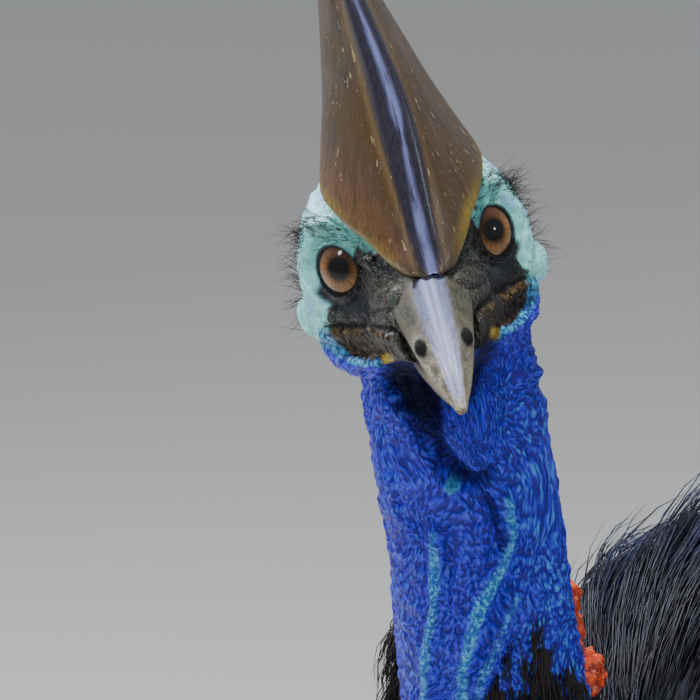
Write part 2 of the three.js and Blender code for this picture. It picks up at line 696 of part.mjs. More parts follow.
function put(name, made, material) {
  const m = made.getMesh();
  const g = new THREE.BufferGeometry();
  const places = new Float32Array(m.numVert * 3);
  for (let i = 0; i < m.numVert; i++) {
    places.set(m.vertProperties.subarray(i * m.numProp, i * m.numProp + 3), i * 3);
  }
  g.setAttribute("position", new THREE.BufferAttribute(places, 3));
  g.setIndex(new THREE.BufferAttribute(m.triVerts, 1));
  g.computeVertexNormals();
  const mesh = new THREE.Mesh(g, MATERIALS[material]);
  mesh.name = name;
  group.add(mesh);
}

// What grows through the plumage, with the gap that the locks are cut clear by.
const wattles = (grow) => join(bothSides((s) => wattle(s, grow)));
const clearOfCoat = join([
  ...bothSides((s) => thighSolid(s, GAP)),
  ...bothSides((s) => wingForm(s, GAP)),
  wattles(GAP + 0.5),
  neckForm(0.3, NECK_FEATHERED, 10, GAP),
  caruncles(GAP),
]);
const torsoCore = (grow = 0) => join([torsoForm(0, TAIL_FROM, 9, 16, grow), neckBase(grow)]);
const torsoLocks = coat(TORSO_COAT);
const neckLocks = coat(NECK_COAT);

function torsoSolid() {
  const locks = join([...torsoLocks, ...neckLocks].map((l) => lockSolid(l)));
  const behind = torsoForm(TAIL_FROM, 1, 4, 16, GAP);
  return torsoCore().add(locks.subtract(clearOfCoat).subtract(behind));
}
function tailSolid() {
  const locks = join(coat(TAIL_COAT).map((l) => lockSolid(l)));
  const near = torsoLocks.filter((l) => l.root.y > 40).map((l) => lockSolid(l, GAP * 2));
  const core = torsoForm(TAIL_FROM + GAP / 600, 1, 4, 16);
  return core.add(locks.subtract(torsoForm(0, TAIL_FROM, 9, 16, GAP))).subtract(join(near));
}

const casque = casqueForm().subtract(headForm(GAP));
put("head", largest(headSolid()), "paleSkin");
put("casque", largest(casque.subtract(join(bothSides((s) => eyeball(s, GAP))))), "casque");
put("bill_upper", largest(upperBill()), "bill");
put("bill_lower", largest(billForm("lower", LOWER).subtract(headMass(GAP))), "bill");
put("neck", largest(bareNeck()), "blueSkin");
put("caruncles", largest(caruncles()), "caruncle");
put("torso", largest(torsoSolid()), "plumage");
put("tail", largest(tailSolid()), "plumage");
const cords = (grow) => join(bothSides((s) => cord(s, grow)));
const wattleRoots = join([neckForm(CORD_TOP, NECK_FEATHERED, 12, GAP), neckBase(GAP), cords(GAP)]);
for (const [name, s] of Object.entries(SIDES)) {
  put(`eye_${name}`, eyeball(s), "eye");
  put(`wattle_${name}`, largest(wattle(s).subtract(wattleRoots)), "wattle");
  put(`wing_${name}`, largest(wingForm(s).subtract(torsoCore(GAP))), "claw");
  const thigh = thighSolid(s).subtract(shankForm(s, GAP)).subtract(torsoCore(GAP));
  put(`thigh_${name}`, largest(thigh), "plumage");
  put(`shank_${name}`, largest(shankForm(s).subtract(footPad(s, GAP))), "scales");
  put(`foot_${name}`, footPad(s), "scales");
  let taken = footPad(s, GAP);
  for (const [toeName, toe] of Object.entries(TOES)) {
    put(`toe_${toeName}_${name}`, largest(toeForm(s, toe).subtract(taken)), "scales");
    put(`claw_${toeName}_${name}`, largest(clawForm(s, toe).subtract(toeForm(s, toe, GAP))), "claw");
    taken = taken.add(toeForm(s, toe, GAP));
  }
}

// The origin is under the middle of the bird's box.
const box = new THREE.Box3().setFromObject(group);
group.position.set(-(box.min.x + box.max.x) / 2, -(box.min.y + box.max.y) / 2, -box.min.z);

export default group;
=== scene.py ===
"""A standing cassowary with its head turned to its left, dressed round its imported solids."""
import math

import bmesh
import bpy
import numpy as np
from bpy.props import FloatProperty, FloatVectorProperty, IntProperty, PointerProperty
from mathutils import Matrix, Vector
from mathutils.bvhtree import BVHTree


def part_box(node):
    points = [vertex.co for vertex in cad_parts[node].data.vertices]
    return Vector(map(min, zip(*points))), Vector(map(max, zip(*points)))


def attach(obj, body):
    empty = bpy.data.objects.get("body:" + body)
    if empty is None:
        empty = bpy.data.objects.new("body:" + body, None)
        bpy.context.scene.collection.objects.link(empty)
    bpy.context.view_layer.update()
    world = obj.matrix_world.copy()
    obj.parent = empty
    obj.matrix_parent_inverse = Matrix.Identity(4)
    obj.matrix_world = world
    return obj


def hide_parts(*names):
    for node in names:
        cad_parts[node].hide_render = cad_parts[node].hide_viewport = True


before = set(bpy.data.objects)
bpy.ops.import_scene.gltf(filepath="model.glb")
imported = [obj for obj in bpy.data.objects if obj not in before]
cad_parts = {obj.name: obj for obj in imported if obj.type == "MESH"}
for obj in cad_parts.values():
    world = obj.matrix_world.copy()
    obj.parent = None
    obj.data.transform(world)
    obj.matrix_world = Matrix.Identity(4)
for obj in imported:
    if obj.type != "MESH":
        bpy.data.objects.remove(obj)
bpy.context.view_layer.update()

bl_info = {
    "name": "Cassowary",
    "version": (1, 0, 0),
    "blender": (4, 5, 0),
    "location": "3D View > Sidebar > Cassowary",
    "description": "Dresses the solids of a standing cassowary with skin, horn, scales and plumage",
    "category": "Object",
}

MM = 0.001
SIDES = {"left": 1, "right": -1}

# Edges of the cells from which skins are made anew, in metres
SOFT_CELL = 0.0011
BODY_CELL = 0.0075
LEG_CELL = 0.0016

# No strand of the plumage goes lower than this, and hairs are this wide, in metres
LOWEST_TIP = 0.002
HAIR_WIDTH = 0.0002

# Lengths from here down to the studio are in millimetres. Places on the body are in the frame in
# which the bird was laid out. Places on the head are its own left, forward and up, given for the
# left side.

# How the head is held, in degrees, and where the point between its eyes was laid out
HEAD_TURN = 45
SIGHT_RISE = 15
HEAD_ROLL = 13.6
HEAD_NOD = 20
HEAD_SWING = 0.8
EYES_LAID_OUT = (57, -406, 1180)

# Eyes. The gaze is in degrees aside and up. The lids open round a way in degrees aside and up, by
# half a width and half a height in degrees; the two sides differ a little.
EYEBALL = (22.8, -6.7, -1)
EYE_RADIUS = 13
EYE_BULGE = 0.7
GAZE = (31, 17)
OPENING = {1: (48, 9, 42, 44), -1: (48, 10, 47, 41)}

# Skull: half widths, crown and throat, evenly spaced from back to front
HEAD_BACK = -75
HEAD_FRONT = 48
HEAD_HALF = [0, 24, 36, 41.5, 43.5, 41, 33, 27, 23.5, 19, 15]
HEAD_CROWN = [-5, 17, 27, 31, 31, 29, 26, 22, 17, 11, 5]
HEAD_THROAT = [-6, -32, -45, -52, -54, -53, -49, -43, -38, -33, -29]
HEAD_SQUARE = 0.92
JOWL_SQUARE = 0.6
HEAD_SMOOTHING = 7

# Forms that stand out from the skull on both sides: a lobe, and ridges with their radii
LOBE = (38.5, -31, -25)
LOBE_RADII = (9, 9.5, 9.5)
BROW = [(38, -27, 4.5), (35.5, -23, 10), (31.5, -12, 14.5), (28, 1, 16), (22.5, 16, 12.5), (17, 27, 9)]
CERE = [(9.5, 44, 3), (13.5, 40, -3), (15.5, 38, -10), (16, 38, -17)]
OUTER_RIDGE = [(34.5, -20, 9), (37, -25, 1), (37, -28, -9), (37.5, -30, -18)]
JAW_ROLL = [(38, -30, -34), (35, -12, -38), (28, 8, -36), (21, 24, -29)]
RIDGES = (
    (BROW, [2, 3, 3.5, 3.5, 3, 2]),
    (CERE, [2.4, 3.2, 3.4, 2.6]),
    (OUTER_RIDGE, [3, 3.5, 3.8, 3.5]),
    (JAW_ROLL, [3.5, 5, 5, 3.5]),
)

# Lines of the face, as left and up in the line of sight
CREASE = [(11.9, -34.6), (14.2, -28.2), (17.3, -24.8), (25, -22), (35.8, -18.6), (40, -18.5)]
LORE_FOLDS = [[(14, -18), (22, -16.5), (30, -13.5), (35, -11.5)], [(17, -9), (22, -12), (28, -12.5)]]
GAPE = (19.8, -35.3)
JOWL = (35.5, -39)
DUSK = [(19.5, 9), (10, -1), (-1, -5), (-1, -42), (14, -39), (18.5, -36.6), (24, -33.8), (28, -33.4)]
DUSK += [(32.5, -30.3), (35.4, -25.8), (37, -20.7), (38.7, -17), (37.4, -14.2), (34.2, -9.1)]
DUSK += [(25, 2), (22, 9)]

# Lines of the throat under the bill, likewise, but of both sides, so that left may be less than 0
SHADE_LEFT = [(-20.6, -37.6), (-11.5, -40), (-3, -54), (-3.5, -60), (-6, -70), (-3, -78), (2, -85), (9, -84)]
SHADE_LEFT += [(8.9, -88.5), (1.3, -90.2), (-5, -86), (-10.5, -79), (-14, -71), (-16.5, -61)]
SHADE_LEFT += [(-20, -51), (-23, -42)]
SHADE_RIGHT = [(11.5, -36.5), (19.5, -37.5), (19, -42), (14.9, -46.5), (10.5, -53), (7, -58), (3, -61)]
SHADE_RIGHT += [(7, -50)]
FLAP = [(-2.5, -55), (-6, -70), (-3, -77), (2, -84), (7.7, -83), (10, -75), (9.5, -66), (7.3, -58)]
NODULE = (-6.5, -87)
THROAT_GROOVE = [(-1, -87), (4, -92), (6.3, -98), (7, -106), (6, -114)]

# Neck: its middle line, half widths, half depths and its front's turn in degrees, evenly spaced
NECK_PATH = np.array(
    [
        (33, -372, 1168),
        (32, -362, 1118),
        (23, -338, 1042),
        (9, -313, 980),
        (3, -290, 925),
        (0, -255, 870),
        (0, -200, 825),
    ],
    float,
)
NECK_HALF = [30, 33, 33.5, 36.5, 44, 58, 76]
NECK_DEPTH = [30, 33, 33, 36, 44, 60, 80]
NECK_TURN = [45, 45, 42, 20, 6, 0, 0]
NECK_ROUND = 33  # what a radian round the bare neck measures
BARE_NECK_END = 0.64
FEATHERED_FROM = 0.5
NECK_ROOT = (0, -264, 905)

# Cords of skin on the neck's front: places on or near the skin, thickness and height
CORD_LEFT = [(38.5, -378, 1063), (37, -378, 1050), (30, -372, 1028), (16, -360, 1000), (6, -352, 960)]
CORD_RIGHT = [(62, -361, 1078), (62.5, -359, 1070), (58.5, -357, 1058), (47.5, -358, 1040)]
CORD_RIGHT += [(42, -358, 1028), (34.5, -356, 1008), (29.5, -352, 994), (22, -346, 960)]
CORD_THIRD = [(54.5, -349, 1036), (49, -350, 1026), (41, -349, 1010), (35.5, -348, 1000), (31, -346, 988)]
CORDS = ((CORD_LEFT, 2.2, 2.6), (CORD_RIGHT, 2.4, 3.0), (CORD_THIRD, 2.2, 1.6))

# How far the caruncles are set into the neck, and their top down it
CARUNCLE_SINK = 4.5
CARUNCLE_DROP = 9

# Casque: front, rear and half widths, evenly spaced from foot to top, and how far its keel leans and
# its sides sway to the left. The line is its lower edge, forward and up.
CASQUE_FOOT = 6
CASQUE_TOP = 133
CASQUE_FRONT = [50, 42, 36, 30, 23, 15, 5, -9, -27]
CASQUE_REAR = [-52, -60, -64, -67, -68, -67, -62, -54, -38]
CASQUE_HALF = [29.5, 31, 26, 20.5, 16.3, 12.2, 8.8, 5.6, 2.2]
CASQUE_LEAN = [2.6, 2.6, 3.2, 3.8, 3.6, 1.8, -0.5, -3.5, -6]
CASQUE_SWAY = [1.9, 1.8, 0.8, 0, -0.8, -1.8, -2.8, -4.2, -6]
CASQUE_LINE = [(-40, 24), (0, 22), (23, 17.3), (34, 12), (48, 8)]
CASQUE_THICKEST = 0.42  # share of the way from rear to front
KEEL_BAND = 6.7

# Bill: half widths, ridge and edge of each half, evenly spaced from root to tip. The arch is the line
# where its horn ends under the casque, as left and up in the line of sight.
BILL_ROOT = 34
UPPER_TIP = 101
UPPER_HALF = [15.5, 14.3, 13, 11.4, 9.2, 6.2, 1.8]
UPPER_RIDGE = [11, 8, 4.2, -0.6, -7, -14.5, -25]
UPPER_EDGE = [-17, -17.6, -18.6, -20, -22, -25, -28]
UPPER_ROOF = 0.35  # how much narrower the ridge is than the edges
LOWER_TIP = 92
LOWER_HALF = [11.5, 10.4, 9, 7.6, 6, 4.2, 1.4]
LOWER_RIDGE = [-17.6, -18.2, -19.2, -20.6, -22.6, -24.6, -27]
LOWER_EDGE = [-37, -37, -36, -34.6, -33, -31, -29]
NOSTRIL = (7.4, 74, -9.8)
NOSTRIL_RADII = (2.9, 6.4, 3)
BILL_ARCH = [(-4.9, -12.6), (-4.4, -10.7), (-2.2, -8.9), (2.2, -8.3), (6.3, -10.1), (7.8, -12.8)]

# Body under the plumage: half widths, back and belly, evenly spaced from breast to rump
TORSO_BREAST = -268
TORSO_RUMP = 390
TORSO_HALF = [30, 122, 156, 166, 165, 154, 132, 98, 30]
TORSO_BACK = [826, 966, 1002, 1005, 995, 971, 933, 876, 790]
TORSO_BELLY = [770, 700, 650, 622, 618, 634, 666, 702, 745]
TAIL_FROM = 0.8

# Legs. The stride moves each foot back, and its leg with it below the hip.
STRIDE = {1: -34, -1: 34}
HIP_HEIGHT = 760
THIGH_PATH = [(90, 50, 745), (108, -8, 640), (106, 18, 520), (98, 100, 400)]
THIGH_RADII = [82, 82, 58, 31]
SHANK_PATH = [(98, 100, 400), (98, 84, 290), (98, 62, 150), (98, 46, 40)]
SHANK_RADII = [30, 18.5, 16, 19]

# Feet. Each toe: degrees that it points inwards, length, thickness, and the claw's length and thickness.
TOES = {"middle": (2, 142, 17, 44, 10), "inner": (25, 74, 15, 100, 9), "outer": (-33, 102, 14.5, 34, 8.5)}
PAD = (27, 31, 44)
PAD_RISE = 12
PAD_PLACE = (98, 42)
TOE_START = 16
CLAW_ROOTED = 8  # how far a claw starts before its toe's end

# Scutes of the leg's front, from the shin's top down, and those on top of the toes below the hock
SHIN_TOP = 400
SHIN_LENGTH = 360
SHIN_SCUTES = 26
TOE_SCUTE = 8.5
HOCK = 48
SCUTE_HEIGHT = 1.35

# Wings: a stub and bare quills
WING_PATH = [(140, -165, 862), (174, -115, 850), (186, -58, 812)]
WING_RADII = [10, 13, 9]
QUILLS = 5
QUILL_RADII = [3.2, 3.2, 2.6, 0.9]

# Plumes. Each has some strands of one width, which start spread round its root and draw together by
# the share called clump. Shares are the places of a strand's rings, and sway turns a plume at random.
SHARES = [0, 0.3, 0.65, 1]
FINE_SHARES = [0, 0.2, 0.45, 0.72, 1]
BACK_PLUME = dict(shares=SHARES, strands=14, width=1.7, spread=5.5, clump=0.45, sway=0.09)
MANTLE_PLUME = dict(shares=FINE_SHARES, strands=14, width=0.75, spread=3.8, clump=0.35, sway=0.08)
TAIL_PLUME = dict(shares=SHARES, strands=14, width=1.7, spread=6, clump=0.5, sway=0.08)
NECK_PLUME = dict(shares=SHARES, strands=8, width=0.6, spread=2.2, clump=0.3, sway=0.14)
LIMB_PLUME = dict(shares=SHARES, strands=7, width=1.3, spread=4, clump=0.35, sway=0.1)
TAIL_GAP = 13
NECK_GAP = 4.9
LIMB_GAP = 11.6
PLUME_SUNK = 2
PIECE_TRIANGLES = 190000
BAKE_PATCH = 0.003

# Plumes that go past the reach, back or aside, are drawn in, and pass it by no more than the give
TAIL_REACH = 455
TAIL_GIVE = 50
SIDE_REACH = 228
SIDE_GIVE = 20

# Hairs of the head. Each row: places, count, scatter, way, shortest and longest, lift.
HAIRS = [
    (BROW[:4], 85, 3.5, (0.9, -0.5, 0.35), (5, 11), 0.35),
    (BROW[:2], 38, 4, (0.9, -0.35, 0.3), (9, 18), 0.6),
    (OUTER_RIDGE, 75, 5, (0.95, -0.3, 0.05), (7, 16), 0.7),
    ([(41, -33, -18), (40, -38, -28)], 26, 6, (0.9, -0.4, -0.2), (8, 16), 0.7),
    (BROW[:5], 380, 7, (0.8, -0.55, 0.1), (3.5, 7), 0.12),
    ([(34, -24, 12), (38, -30, -6), (40, -36, -16)], 330, 7, (0.7, -0.6, -0.3), (3, 7), 0.12),
    ([(20, 18, 4), (20, 18, -14), (34, -10, -20)], 330, 6, (0.3, -0.7, -0.5), (1.5, 4), 0.4),
    ([(14, 40, -2), (14, 34, -14)], 120, 5, (0.2, -0.8, -0.3), (1.5, 4), 0.5),
    ([(18, -66, 12), (24, -62, -10), (26, -56, -34)], 240, 11, (0.3, -0.6, -0.6), (8, 17), 0.35),
]

# Camera: its distance from the eyes, the picture's width there, and how far the eyes are right of
# the picture's middle and above it
CAMERA_BACK = 2600
CAMERA_FRAME = 255.5
EYES_RIGHT = 24.3
EYES_ABOVE = 35.6
SENSOR = 36

# Studio, in metres. Each lamp: right, up and back of the head in the view, width, power, colour.
FLOOR_SIZE = 60
LAMPS = {
    "key": ((-0.3, 2.9, 1.5), 0.8, 150, (1, 0.98, 0.95)),
    "fill": ((-2.0, 1.8, 1.3), 0.7, 34, (0.86, 0.92, 1)),
    "spark": ((2.56, 0.77, 1.4), 0.4, 13, (0.86, 0.92, 1)),
    "rim": ((-1.5, 1.9, -1.9), 1.6, 110, (0.95, 0.97, 1)),
}
SKY = (0.75, 0.79, 0.86, 1)
SKY_STRENGTH = 0.42


# Places


def turned(degrees, axis):
    return Matrix.Rotation(math.radians(degrees), 4, axis)


def middle(node):
    low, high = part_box(node)
    return (Vector(low) + Vector(high)) / 2


HEAD_HELD = turned(HEAD_TURN, "Z") @ turned(-SIGHT_RISE, "X") @ turned(-HEAD_ROLL, "Y")
HEAD_HELD = HEAD_HELD @ turned(HEAD_NOD, "X") @ turned(HEAD_SWING, "Z")
EYES = (middle("eye_left") + middle("eye_right")) / 2
HEAD_AT = EYES - HEAD_HELD @ Vector((0, -EYEBALL[1], EYEBALL[2])) * MM
HEAD = Matrix.Translation(HEAD_AT) @ HEAD_HELD @ Matrix.Scale(MM, 4)
BODY = Matrix.Translation(HEAD_AT - Vector(EYES_LAID_OUT) * MM) @ Matrix.Scale(MM, 4)


def through(matrix, points):
    """An array of points moved by a matrix."""
    m = np.array(matrix)
    return points @ m[:3, :3].T + m[:3, 3]


def in_head(points):
    """Points given as left, forward and up in the head, in metres in the frame."""
    points = np.asarray(points, float)
    return through(HEAD, points * (1, -1, 1))


def in_body(points):
    return through(BODY, np.asarray(points, float))


def to_head(points):
    return through(HEAD.inverted(), points) * (1, -1, 1)


def to_body(points):
    return through(BODY.inverted(), points)


def in_sight(head):
    """How high each point of the head stands in the line of sight."""
    nod = math.radians(HEAD_NOD)
    return head[:, 2] * math.cos(nod) - head[:, 1] * math.sin(nod)


def folded(head):
    """Points of the head as left, forward and up, with the right side laid on the left."""
    return np.abs(head) * (1, 0, 0) + head * (0, 1, 1)


def unit(vectors):
    return vectors / np.maximum(np.linalg.norm(vectors, axis=-1, keepdims=True), 1e-9)


def along(values, t):
    """A smooth curve through evenly spaced values, read at t, from 0 to 1."""
    values = np.asarray(values, float)
    last = len(values) - 1
    x = np.clip(np.asarray(t, float), 0, 1) * last
    i = np.minimum(np.floor(x).astype(int), last - 1)
    f = x - i
    if values.ndim > 1:
        f = f[..., None]
    a, b, c, d = (values[np.clip(i + k, 0, last)] for k in (-1, 0, 1, 2))
    return b + 0.5 * f * (c - a + f * (2 * a - 5 * b + 4 * c - d + f * (3 * (b - c) + d - a)))


def mix(a, b, t):
    return a + (b - a) * t


def step(low, high, x):
    """From 0 at low to 1 at high, eased at both ends; low may be above high."""
    t = np.clip((x - low) / (high - low), 0, 1)
    return t * t * (3 - 2 * t)


def hump(distance, width):
    return np.exp(-((distance / width) ** 2))


# Noise that is alike on every run, for arrays of points


def dice_at(cells, salt):
    """A number from 0 to 1 for each whole-number cell."""
    n = cells[..., 0] * 73856093 ^ cells[..., 1] * 19349663 ^ cells[..., 2] * 83492791
    n = (n + salt * 668265263) & 0x7FFFFFFF
    n = ((n ^ (n >> 13)) * 1274126177) & 0x7FFFFFFF
    n = ((n ^ (n >> 16)) * 668265261) & 0x7FFFFFFF
    return (n ^ (n >> 15)) / 0x7FFFFFFF


def billow(points, salt=0):
    """Smooth noise from -1 to 1 with swellings about one unit apart."""
    base = np.floor(points).astype(np.int64)
    f = points - base
    f = f * f * (3 - 2 * f)
    total = np.zeros(len(points))
    for corner in np.ndindex(2, 2, 2):
        corner = np.array(corner)
        weight = np.prod(np.where(corner, f, 1 - f), axis=-1)
        total += weight * dice_at(base + corner, salt)
    return 2 * total - 1


def grains(points, salt=0):
    """How far each point is inside its own grain, from 0 at the grain's border to about 1."""
    base = np.floor(points).astype(np.int64)
    first = np.full(len(points), 9.0)
    second = np.full(len(points), 9.0)
    for corner in np.ndindex(3, 3, 3):
        cell = base + np.array(corner) - 1
        seed = np.stack([dice_at(cell, salt + k) for k in (1, 2, 3)], axis=-1)
        away = np.linalg.norm(cell + seed - points, axis=-1)
        second = np.minimum(second, np.maximum(first, away))
        first = np.minimum(first, away)
    return np.clip((second - first) * 1.4, 0, 1)


def far_from(points, path):
    """Each point's distance from a path of straight stretches."""
    path = np.asarray(path, float)
    nearest = np.full(len(points), 1e9)
    for a, b in zip(path[:-1], path[1:]):
        run = b - a
        t = np.clip(((points - a) @ run) / max(run @ run, 1e-12), 0, 1)
        nearest = np.minimum(nearest, np.linalg.norm(points - a - t[:, None] * run, axis=-1))
    return nearest


def inside_by(points, outline):
    """How far points of a plane lie inside an outline; less than 0 outside it."""
    outline = np.asarray(outline, float)
    inside = np.zeros(len(points), bool)
    x, y = points.T
    for a, b in zip(outline, np.roll(outline, -1, 0)):
        crossing = (a[1] > y) != (b[1] > y)
        at = a[0] + (y - a[1]) / (b[1] - a[1] if b[1] != a[1] else 1) * (b[0] - a[0])
        inside ^= crossing & (x < at)
    away = far_from(points, [*outline, outline[0]])
    return np.where(inside, away, -away)


# Sizes and colours that a user would change


def length_of(name, text, default):
    return FloatProperty(name=name, description=text, default=default, unit="LENGTH", precision=5)


def colour_of(name, text, default):
    return FloatVectorProperty(
        name=name, description=text, default=default, size=3, subtype="COLOR", min=0, max=1
    )


class CassowarySizes(bpy.types.PropertyGroup):
    skin_cell: length_of("Skin cell", "Edge of one cell of the skin of head and neck", 0.00115)
    wrinkle: length_of("Wrinkle", "Size of the fine wrinkles of the neck", 0.0027)
    wrinkle_height: length_of("Wrinkle height", "How far the wrinkles stand out", 0.0013)
    plume_gap: length_of("Plume gap", "Distance between the plumes of the back", 0.0165)
    near_gap: length_of("Near gap", "Distance between the plumes of the neck and mantle", 0.0092)
    seed: IntProperty(name="Seed", description="Draws the places of plumes and hairs", default=7)


class CassowaryColours(bpy.types.PropertyGroup):
    cobalt: colour_of("Cobalt", "Skin of the neck", (0.036, 0.036, 0.82))
    violet: colour_of("Violet", "Grooves of the neck's skin", (0.018, 0.012, 0.3))
    turquoise: colour_of("Turquoise", "Cords and lit wrinkles of the neck", (0.07, 0.4, 0.95))
    pale: colour_of("Pale skin", "Brow and lobes", (0.42, 1.0, 0.98))
    horn: colour_of("Casque horn", "Sides of the casque", (0.085, 0.054, 0.033))
    olive: colour_of("Olive horn", "Lower sides of the casque", (0.12, 0.062, 0.012))
    keel: colour_of("Keel", "Front ridge of the casque", (0.014, 0.012, 0.022))
    rim: colour_of("Casque rim", "Lower edge of the casque", (0.36, 0.25, 0.012))
    culmen: colour_of("Culmen", "Ridge of the bill", (0.165, 0.18, 0.32))
    amber: colour_of("Iris", "Iris of the eye", (0.31, 0.13, 0.024))
    caruncle: colour_of("Caruncle", "Skin at the back of the neck", (0.94, 0.085, 0.008))
    plumage: colour_of("Plumage", "Feathers", (0.006, 0.006, 0.009))
    scales: colour_of("Scales", "Scutes of shank and toes", (0.085, 0.078, 0.06))


def sizes():
    return bpy.context.scene.cassowary_sizes


def colours():
    return bpy.context.scene.cassowary_colours


# Materials


PAINTS = {}


def paint(make):
    """The material that a function makes, made once."""
    if make not in PAINTS:
        PAINTS[make] = make()
    return PAINTS[make]


class Paint:
    """One material, built node by node round its surface shader."""

    def __init__(self, name, **sockets):
        self.material = bpy.data.materials.new(name)
        self.material.use_nodes = True
        self.tree = self.material.node_tree
        self.shader = self.tree.nodes["Principled BSDF"]
        for socket, value in sockets.items():
            self.shader.inputs[socket.replace("_", " ")].default_value = value

    def node(self, kind, links=None, **settings):
        made = self.tree.nodes.new(kind)
        for key, value in settings.items():
            setattr(made, key, value)
        for socket, value in (links or {}).items():
            self.feed(made.inputs[socket], value)
        return made

    def feed(self, socket, value):
        if isinstance(value, bpy.types.NodeSocket):
            self.tree.links.new(value, socket)
        elif hasattr(value, "__len__") and len(value) == 3 and socket.type == "RGBA":
            socket.default_value = (*value, 1)
        else:
            socket.default_value = value

    def place(self, stretch=(1, 1, 1), source=None):
        source = source or self.node("ShaderNodeTexCoord").outputs["Object"]
        links = {"Vector": source, "Scale": stretch}
        return self.node("ShaderNodeMapping", links).outputs["Vector"]

    def mark(self, name):
        return self.node("ShaderNodeAttribute", attribute_name=name).outputs["Fac"]

    def lie(self, name, stretch=(1, 1, 1)):
        vector = self.node("ShaderNodeAttribute", attribute_name=name).outputs["Vector"]
        return self.place(stretch, vector)

    def noise(self, scale, detail=3, vector=None, rough=0.55):
        links = {"Scale": scale, "Detail": detail, "Roughness": rough}
        links["Vector"] = vector or self.place()
        return self.node("ShaderNodeTexNoise", links).outputs["Fac"]

    def cells(self, scale, vector=None):
        links = {"Scale": scale, "Vector": vector or self.place()}
        return self.node("ShaderNodeTexVoronoi", links).outputs["Distance"]

    def creases(self, noise, width):
        """1 on the swellings of a noise and 0 in creases that run between them."""
        away = self.reckon("ABSOLUTE", self.minus(noise, 0.5), 0.0)
        return self.between(away, 0.0, width)

    def between(self, value, low, high):
        """The value's own 0 to 1 between two of its levels."""
        links = {"Value": value, "From Min": low, "From Max": high}
        return self.node("ShaderNodeMapRange", links, interpolation_type="SMOOTHSTEP").outputs[0]

    def reckon(self, kind, a, b):
        return self.node("ShaderNodeMath", {0: a, 1: b}, operation=kind).outputs[0]

    def sum(self, a, b):
        return self.reckon("ADD", a, b)

    def minus(self, a, b):
        return self.reckon("SUBTRACT", a, b)

    def times(self, a, b):
        return self.reckon("MULTIPLY", a, b)

    def most(self, a, b):
        return self.reckon("MAXIMUM", a, b)

    def blend(self, share, a, b):
        made = self.node("ShaderNodeMix", data_type="RGBA")
        self.feed(made.inputs["Factor"], share)
        self.feed(made.inputs[6], a)
        self.feed(made.inputs[7], b)
        return made.outputs[2]

    def colour(self, value):
        self.feed(self.shader.inputs["Base Color"], value)

    def rough(self, share, a, b):
        self.feed(self.shader.inputs["Roughness"], self.sum(self.times(share, b - a), a))

    def bump(self, height, distance, strength=1.0):
        links = {"Height": height, "Distance": distance, "Strength": strength}
        made = self.node("ShaderNodeBump", links)
        before = self.shader.inputs["Normal"]
        if before.is_linked:
            self.feed(made.inputs["Normal"], before.links[0].from_socket)
        self.feed(before, made.outputs["Normal"])


def tint(colour, share):
    """A colour made darker or lighter."""
    return tuple(min(1.0, c * share) for c in colour)


def neck_wrinkle(p):
    """The neck's fine relief: long wrinkles with rounded cobbles among them."""
    scale = MM / sizes().wrinkle
    long = p.creases(p.noise(scale, 1, p.lie("wrinkle", (1, 0.62, 1))), 0.16)
    cobble = p.between(p.cells(scale * 1.5, p.lie("wrinkle", (1, 0.55, 1))), 0.75, 0.1)
    return p.sum(p.times(long, 0.45), p.times(cobble, 0.55))


def neck_colour(p, wrinkle, broad, pit):
    c = colours()
    tone = p.sum(p.times(p.mark("relief"), 0.9), p.times(broad, 0.6))
    lit_tops = p.between(wrinkle, 0.45, 0.9)
    # Painted shade: grooves and low places go violet, partly the skin's own violet in broad patches and
    # partly painted shade.
    neck = p.blend(p.between(wrinkle, 0.1, 0.5), c.violet, c.cobalt)
    neck = p.blend(p.times(p.between(tone, 0.6, 0.25), 0.75), neck, c.violet)
    # Painted highlights: wrinkle tops lighter blue, and turquoise where the light mark says.
    neck = p.blend(p.times(lit_tops, 0.5), neck, (0.13, 0.21, 0.97))
    neck = p.blend(p.times(lit_tops, p.mark("light")), neck, c.turquoise)
    grain = p.times(pit, p.between(wrinkle, 0.0, 0.5))
    cord = p.blend(grain, (0.02, 0.16, 0.62), (0.14, 0.6, 0.97))
    return p.blend(p.between(p.mark("cord"), 0.25, 0.7), neck, cord)


def brow_colour(p, streak, broad):
    c = colours()
    pale = p.blend(p.between(streak, 0.34, 0.58), tint(c.pale, 0.72), c.pale)
    mint = p.blend(p.between(streak, 0.35, 0.62), (0.24, 0.8, 0.72), (0.46, 1.0, 0.92))
    pale = p.blend(p.mark("mint"), pale, mint)
    pale = p.blend(p.between(broad, 0.52, 0.68), pale, (0.34, 0.6, 0.98))
    return p.blend(p.times(p.mark("green"), 0.6), pale, (0.03, 0.28, 0.22))


def sooty_colour(p, streak, broad):
    """The dark, speckled skin between eye and bill, and the browner pad by the mouth."""
    speck = p.between(p.noise(1500, 2), 0.6, 0.68)
    fleck = p.between(p.noise(800, 3), 0.6, 0.66)
    dusk = p.blend(p.between(streak, 0.4, 0.7), (0.004, 0.004, 0.005), (0.032, 0.029, 0.024))
    dusk = p.blend(p.between(p.noise(190, 3), 0.5, 0.7), dusk, (0.035, 0.06, 0.05))
    taupe = p.sum(p.times(p.between(streak, 0.35, 0.65), 0.45), 0.25)
    dusk = p.blend(p.times(p.mark("taupe"), taupe), dusk, (0.075, 0.065, 0.055))
    dusk = p.blend(p.times(speck, 0.75), dusk, (0.34, 0.34, 0.3))
    pad = p.blend(p.between(streak, 0.42, 0.66), (0.012, 0.008, 0.006), (0.07, 0.042, 0.018))
    pad = p.blend(p.times(fleck, p.between(broad, 0.4, 0.6)), pad, (0.36, 0.25, 0.11))
    return p.blend(p.mark("pad"), dusk, pad)


